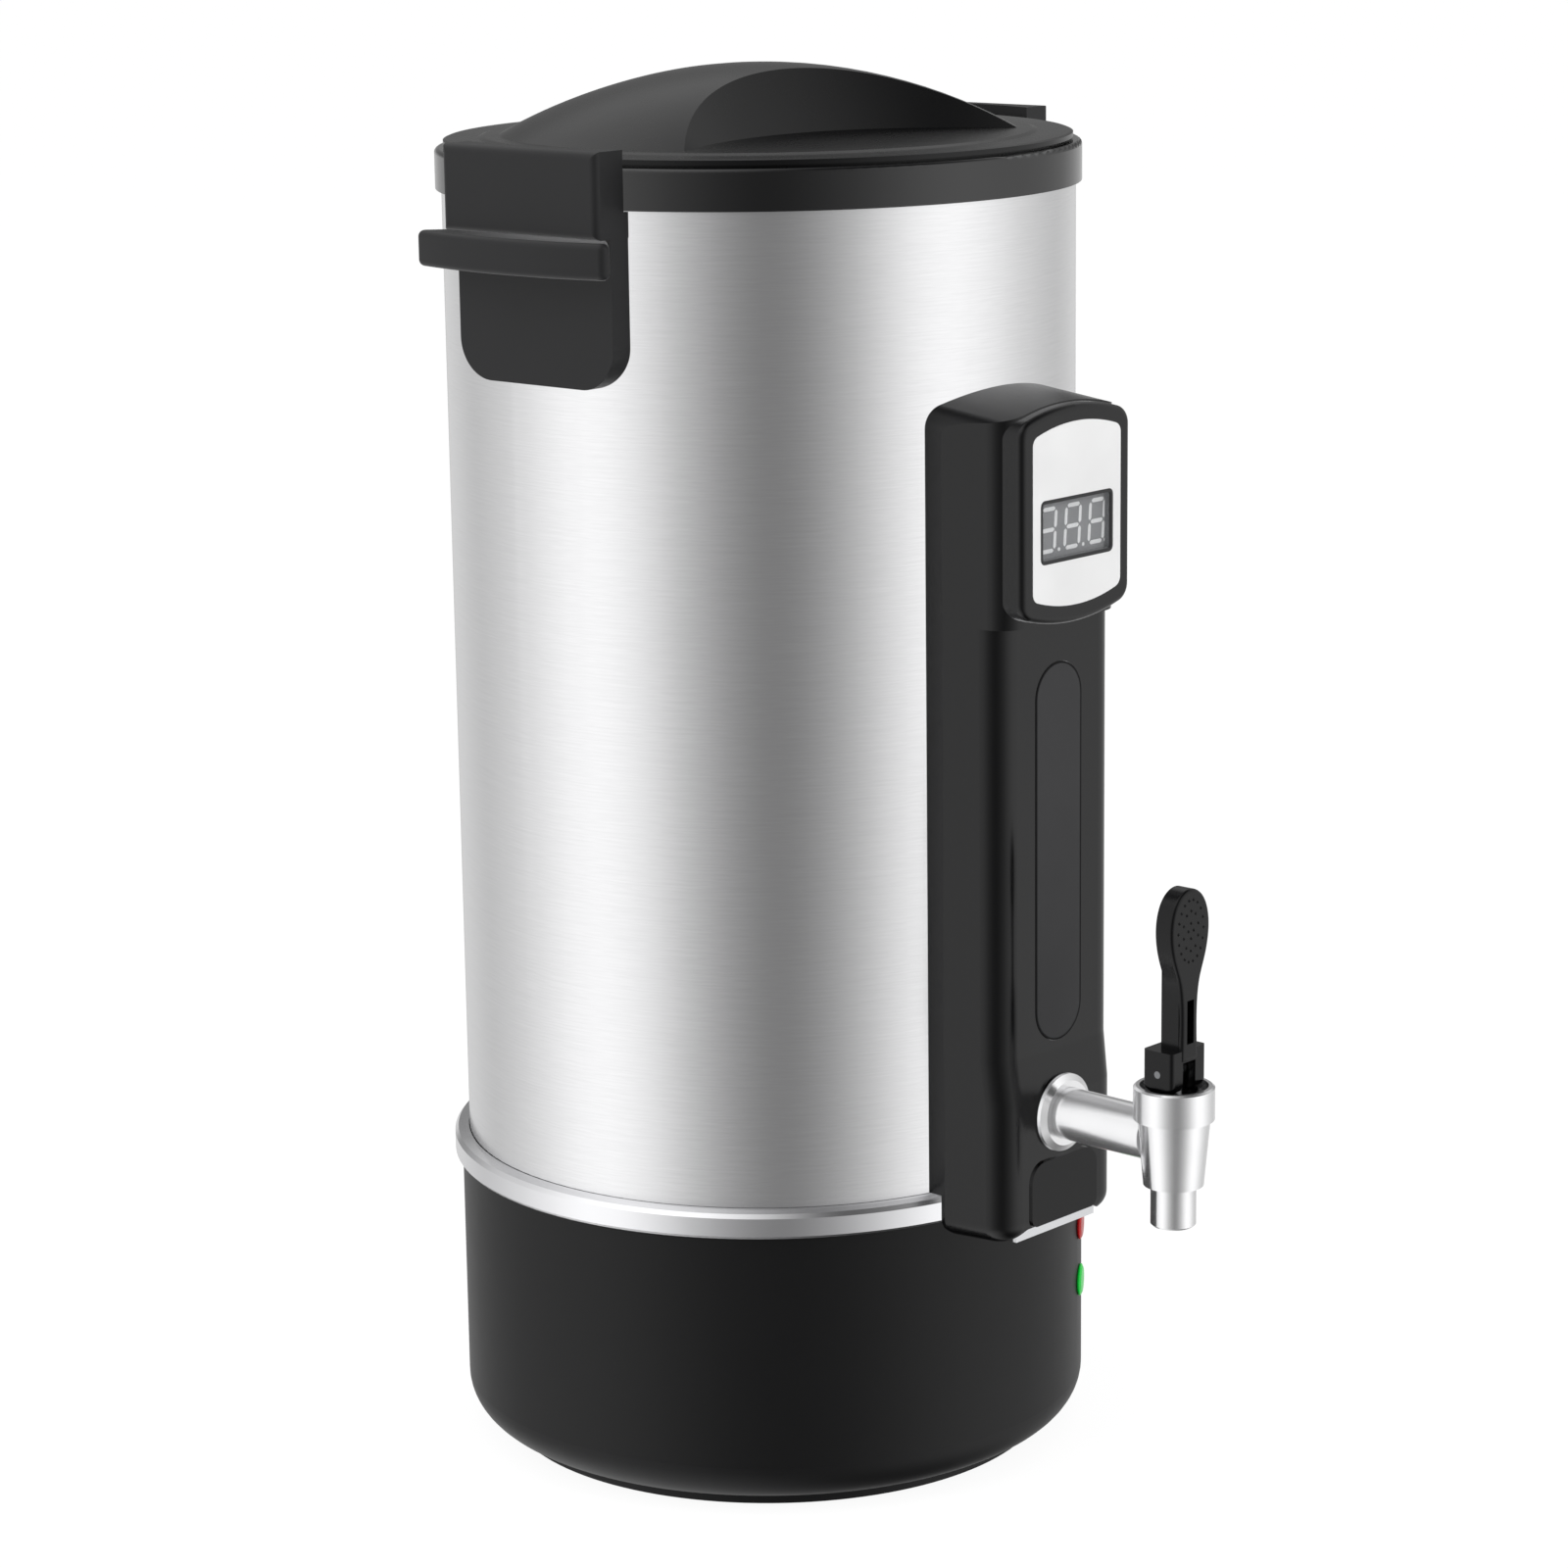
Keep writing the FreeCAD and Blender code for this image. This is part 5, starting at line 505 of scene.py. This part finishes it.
# Painted glow: the figures' and points' pale colour is also fed to emission, so they shine though the display
# is unlit.
figure_light = surface("figure_resin_painted_glow", {"Specular IOR Level": 0.3, "Emission Strength": 0.35})
pale = figure_light.mix(speckle(figure_light, 0.0006), tone(206, 207, 208), tone(224, 225, 226))
drive(figure_light, colour=pale, glow=pale, roughness=0.5 + 0.1 * speckle(figure_light, 0.002))
add_piece("display_figures", points, faces, "housing", figure_light.owner)

# The three points: eight-sided discs at the lower right of each figure, the last one kept inside the block.
turn, point_radius, point_offset, point_limit = np.arange(8) * math.pi / 4, 0.00065, 0.0056, 0.0181
point_middles = np.minimum(figure_middles + point_offset, point_limit)[:, None]
discs = np.stack([point_middles + point_radius * np.cos(turn),
                  (display_middle - half_high) + point_radius * np.sin(turn) + 0 * point_middles], -1)
points, faces = plates(discs, figure_face + figure_proud, figure_face - figure_sunk)
add_piece("display_points", points, faces, "housing", figure_light.owner)


def rounded_frame(half_across, half_up, radius, steps=6):
    """Points and outward directions round a rectangle with rounded corners, from its lower right corner."""
    sweep = np.linspace(-math.pi / 2, 0, steps)[None] + (np.arange(4) * math.pi / 2)[:, None]
    corners = np.array([(1, -1), (1, 1), (-1, 1), (-1, -1)])[:, None]
    centre = corners * np.array([half_across - radius, half_up - radius])
    way = np.stack([np.cos(sweep), np.sin(sweep)], -1)
    return (centre + radius * way).reshape(-1, 2), way.reshape(-1, 2)


# The printed edge is a low round bead carried along the rounded opening. Its section is a half round of
# bead_half across and bead_rise high, closed by two points bead_root below the label's face.
window_gap, corner_radius, label_face = 0.0003, 0.0015, 0.142
bead_half, bead_rise, bead_root = 0.0006, 0.00015, 0.0007
path, way = rounded_frame(window_half[0] + window_gap, window_half[2] + window_gap, corner_radius)
arc = np.linspace(0, math.pi, 7)
bead_out = np.concatenate([-bead_half * np.cos(arc), [bead_half, -bead_half]])
bead_up = np.concatenate([bead_rise * np.sin(arc), [-bead_root, -bead_root]])
path_points = path[:, None] + way[:, None] * bead_out[None, :, None]
points = np.stack([path_points[..., 0], np.broadcast_to(-label_face - bead_up, path_points.shape[:2]),
                   path_points[..., 1] + window_middle[2]], -1)
add_piece("window_edge", points, grid_faces(len(path), len(bead_out), True, True), "housing",
          moulded("printed_black", tone(22, 22, 24), roughness=0.45, grain=0.0008, depth=2e-6))

unmirrored("label_plate", "display_window", "display_block", "display_figures", "display_points", "window_edge")

# ---------------------------------------------------------------- tap
# Escutcheon, pipe, cup and nozzle are turned from brass and nickel plated. A black nylon bonnet closes the
# cup, and the forked lever lifts the spring-loaded stem. Silicone seals and a bakelite tube sit behind.

def nickel(name, share, roughness):
    """Plated brass: turning marks in the gloss. Share is the mirror's part, the rest is a soft white body."""
    finish = surface(name, {"Metallic": share, "Specular IOR Level": 0.6})
    swirl, turned = speckle(finish, 0.012, 3), speckle(finish, 0.0006, 2, (6, 1, 6))
    drive(finish, colour=finish.mix(swirl, tone(236, 236, 237), tone(246, 246, 247)),
          roughness=roughness + 0.05 * turned, height=turned * 6e-7)
    return finish.owner


dress(nickel("bright_nickel", share=0.92, roughness=0.14), "tap_escutcheon", "tap_body", "tap_nozzle")
dress(nickel("satin_nickel", share=0.86, roughness=0.17), "tap_pipe")
# Painted shade: the pin's steel is darkened so that its end reads as the dark pivot hole of the lever.
dress(metal("pin_steel_darkened_as_shade", tone(128, 129, 131), roughness=0.3, scratch=0.05), "lever_pin")
dress(bright, "tap_nut", "tap_stem")

# The stem's return spring: a round wire carried along a helix. Point = middle + (coil radius + wire radius
# times cos side) outward + (rise + wire radius times sin side) up.
spring_low, spring_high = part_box("stem_spring")
spring_middle = (spring_low + spring_high) / 2
wire_radius, coil_turns, wire_steps, wire_sides = 0.00045, 5, 121, 8
coil_radius = (spring_high[0] - spring_low[0]) / 2 - wire_radius
along_wire, side = np.linspace(0, 1, wire_steps)[:, None], np.arange(wire_sides)[None] * math.pi / 4
coil_turn = along_wire * coil_turns * 2 * math.pi
out = coil_radius + wire_radius * np.cos(side)
points = np.stack([spring_middle[0] + out * np.cos(coil_turn), spring_middle[1] + out * np.sin(coil_turn),
                   spring_low[2] + wire_radius + along_wire * (spring_high[2] - spring_low[2] - 2 * wire_radius)
                   + wire_radius * np.sin(side)], -1)
last = wire_steps * wire_sides - 1
wire_ends = [list(range(wire_sides)), list(range(last, last - wire_sides, -1))]
faces = grid_faces(wire_steps, wire_sides, False, True)[:, ::-1].tolist() + wire_ends
coil = add_piece("return_spring", points, faces, "housing",
                 metal("spring_wire", tone(188, 190, 193), roughness=0.28, scratch=0.05, depth=1e-6), True)
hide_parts("stem_spring")
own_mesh(coil)
silicone = moulded("white_silicone", tone(222, 220, 214), roughness=0.6, grain=0.002, depth=1e-5, gloss=0.4)
dress(silicone, "tap_gaskets", "seat_cup")
dress(moulded("brown_spacer", tone(58, 40, 32), roughness=0.45, grain=0.001, depth=8e-6), "tap_spacer")
lever_black = moulded("lever_nylon", tone(6, 6, 7), roughness=0.2, grain=0.0015, depth=1e-6, gloss=0.26)
dress(lever_black, "tap_bonnet", "tap_lever")

# Grip dots moulded on the paddle's face: an oval ring, an inner oval and four in the middle. Each is a low
# dome: its radius goes with the cosine of the latitude and its height with the sine.
lever_low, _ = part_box("tap_lever")
outer_turn, inner_turn = np.arange(18) * 2 * math.pi / 18, np.arange(10) * 2 * math.pi / 10 + 0.3
paddle_level, dot_radius, dot_rise, dot_sunk = 0.2128, 0.00055, 0.0003, 0.00002
dot_across = np.concatenate([0.0068 * np.cos(outer_turn), 0.0041 * np.cos(inner_turn), [0, 0, 0.0014, -0.0014]])
dot_up = np.concatenate([0.0106 * np.sin(outer_turn), 0.0068 * np.sin(inner_turn), [0.0026, -0.0026, 0, 0]])
dot_up = dot_up + paddle_level
around, latitude = np.arange(10) * 2 * math.pi / 10, np.array([0, 0.4, 0.8, 1.25])
dots, levels, sides = len(dot_across), len(latitude), len(around)
dome_out, dome_rise = dot_radius * np.cos(latitude), dot_rise * np.sin(latitude)
dot_points = np.stack([
    dot_across[:, None, None] + (dome_out[:, None] * np.cos(around))[None],
    np.broadcast_to(lever_low[1] + dot_sunk - dome_rise[:, None], (dots, levels, sides)),
    dot_up[:, None, None] + (dome_out[:, None] * np.sin(around))[None]], -1)
dome_top = [list(range((levels - 1) * sides, levels * sides))]
dome_faces = [list(row) for row in grid_faces(levels, sides, False, True)] + dome_top
faces = [[index + levels * sides * dot for index in row] for dot in range(dots) for row in dome_faces]
add_piece("lever_dots", dot_points, faces, "lever",
          moulded("lever_dot_nylon", tone(4, 4, 5), roughness=0.3, grain=0.001, depth=2e-6, gloss=0.3), True)

# ---------------------------------------------------------------- thermostat, dial and knob
# A bakelite capillary thermostat screwed behind the dial on the right side. The dial is printed white
# aluminium with plain numbers, and the fluted black knob has a white line.

dress(moulded("thermostat_bakelite", tone(52, 34, 27), roughness=0.42, grain=0.0012, depth=1e-5),
      "thermostat_body")
dress(bright, "thermostat_shaft")
dress(zinc, "thermostat_screws")
dress(moulded("dial_print", tone(228, 228, 227), roughness=0.4, grain=0.0008, depth=2e-6), "dial_plate")
dress(moulded("satin_black_knob", tone(17, 17, 18), roughness=0.34, grain=0.0006, depth=4e-6, gloss=0.35),
      "control_knob")
dial_ink = moulded("dial_ink", tone(28, 28, 30), roughness=0.5, grain=0.0006, depth=1e-6)
dial_low, dial_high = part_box("dial_plate")
_, knob_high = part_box("control_knob")
dial_face, dial_level, ink_rise = dial_high[0], (dial_low[2] + dial_high[2]) / 2, 0.00004


def dial_strokes(turns, inner, outer, half_width, face, rise):
    """Straight strokes that point at the dial's middle: six-sided blocks turned clockwise from straight up."""
    turns = np.asarray(turns)[:, None, None, None]
    far = np.array([inner, outer])[None, :, None, None]
    side = np.array([-half_width, half_width])[None, None, :, None]
    sunk = 0.0001
    depth = np.array([face - sunk, face + rise])[None, None, None, :]
    across = far * np.sin(turns) + side * np.cos(turns) + 0 * depth
    up = far * np.cos(turns) - side * np.sin(turns) + 0 * depth
    points = np.stack([depth + 0 * across, across, dial_level + up], -1)
    corner = np.array([(0, 1, 3, 2), (4, 6, 7, 5), (0, 4, 5, 1), (2, 3, 7, 6), (1, 5, 7, 3), (0, 2, 6, 4)])
    faces = (np.arange(len(turns))[:, None, None] * 8 + corner[None]).reshape(-1, 4)
    return points, faces


scale_start, tick_step, number_step, letter_height, number_reach = -135, 10, 30, 0.0021, 0.02135
tick_turns = np.radians(scale_start + tick_step * np.arange(28))
number_turns = np.radians(scale_start + number_step * np.arange(10))
points, faces = dial_strokes(tick_turns, inner=0.0193, outer=0.0201, half_width=0.00012, face=dial_face,
                             rise=ink_rise)
add_piece("dial_ticks", points, faces, "housing", dial_ink)
number_points, number_faces, used = [], [], 0
for words, turned in zip(("0", "30", "40", "50", "60", "70", "80", "90", "100", "110"), number_turns):
    letters = bpy.data.curves.new("dial_number", "FONT")
    letters.body, letters.size, letters.align_x, letters.align_y = words, letter_height, "CENTER", "CENTER"
    holder = bpy.data.objects.new("dial_number", letters)
    bpy.context.scene.collection.objects.link(holder)
    flat = bpy.data.meshes.new_from_object(holder.evaluated_get(bpy.context.evaluated_depsgraph_get()))
    spots = np.empty(len(flat.vertices) * 3)
    flat.vertices.foreach_get("co", spots)
    spots = spots.reshape(-1, 3)
    number_points.append(np.stack([np.full(len(spots), dial_face + ink_rise),
                                   spots[:, 0] + number_reach * math.sin(turned),
                                   spots[:, 1] + number_reach * math.cos(turned) + dial_level], -1))
    number_faces += [[used + index for index in face.vertices] for face in flat.polygons]
    used += len(spots)
    bpy.data.objects.remove(holder)
add_piece("dial_numbers", np.concatenate(number_points), number_faces, "housing", dial_ink)
points, faces = dial_strokes(number_turns[:1], inner=0.006, outer=0.0142, half_width=0.0006, face=knob_high[0],
                             rise=0.0001)
add_piece("knob_line", points, faces, "knob",
          moulded("knob_line_paint", tone(232, 232, 230), roughness=0.45, grain=0.0006, depth=2e-6))

# ---------------------------------------------------------------- lamps, inlet and terminal block
# Two clear coloured lenses push into nylon holders from outside. The inlet is black nylon with brass
# pins, and the terminal block is white nylon.

def lens(name, colour):
    """Clear tinted plastic that is dimly lit from behind, brighter where the noise of its ribs is high."""
    finish = surface(name, {"Specular IOR Level": 0.3, "Coat Weight": 0.1, "Coat Roughness": 0.05,
                            "Emission Strength": 0.25})
    ribs = speckle(finish, 0.002, 2)
    tint = finish.mix(ribs, dimmed(colour, 0.7), colour)
    drive(finish, colour=tint, glow=tint, roughness=0.2 + 0.1 * ribs)
    return finish.owner


dress(lens("red_lens", tone(172, 4, 8)), "red_lamp_lens")
dress(lens("green_lens", tone(0, 202, 60)), "green_lamp_lens")
nylon = moulded("white_nylon", tone(218, 216, 208), roughness=0.5, grain=0.0014, depth=8e-6, gloss=0.4)
dress(nylon, "lamp_holders", "terminal_block")
dress(moulded("inlet_nylon", tone(20, 20, 21), roughness=0.42, grain=0.0006, depth=6e-6, gloss=0.35),
      "power_inlet")
dress(metal("pin_brass", tone(214, 182, 110), roughness=0.25, scratch=0.05), "inlet_pins")
dress(zinc, "inlet_screws")

# ---------------------------------------------------------------- lid
# A moulded black dome with a finger scoop cut from the front and the rear, which leaves a grip ridge.
# A pressed steel liner with a silicone gasket is screwed under it.

dress(moulded("satin_black_lid", tone(7, 7, 8), roughness=0.27, grain=0.0007, depth=1.5e-6, gloss=0.3),
      "lid_shell")
dress(metal("liner_steel", tone(206, 206, 208), roughness=0.3, scratch=0.05, depth=4e-6), "lid_liner")
dress(silicone, "lid_gasket")
dress(zinc, "lid_screws")
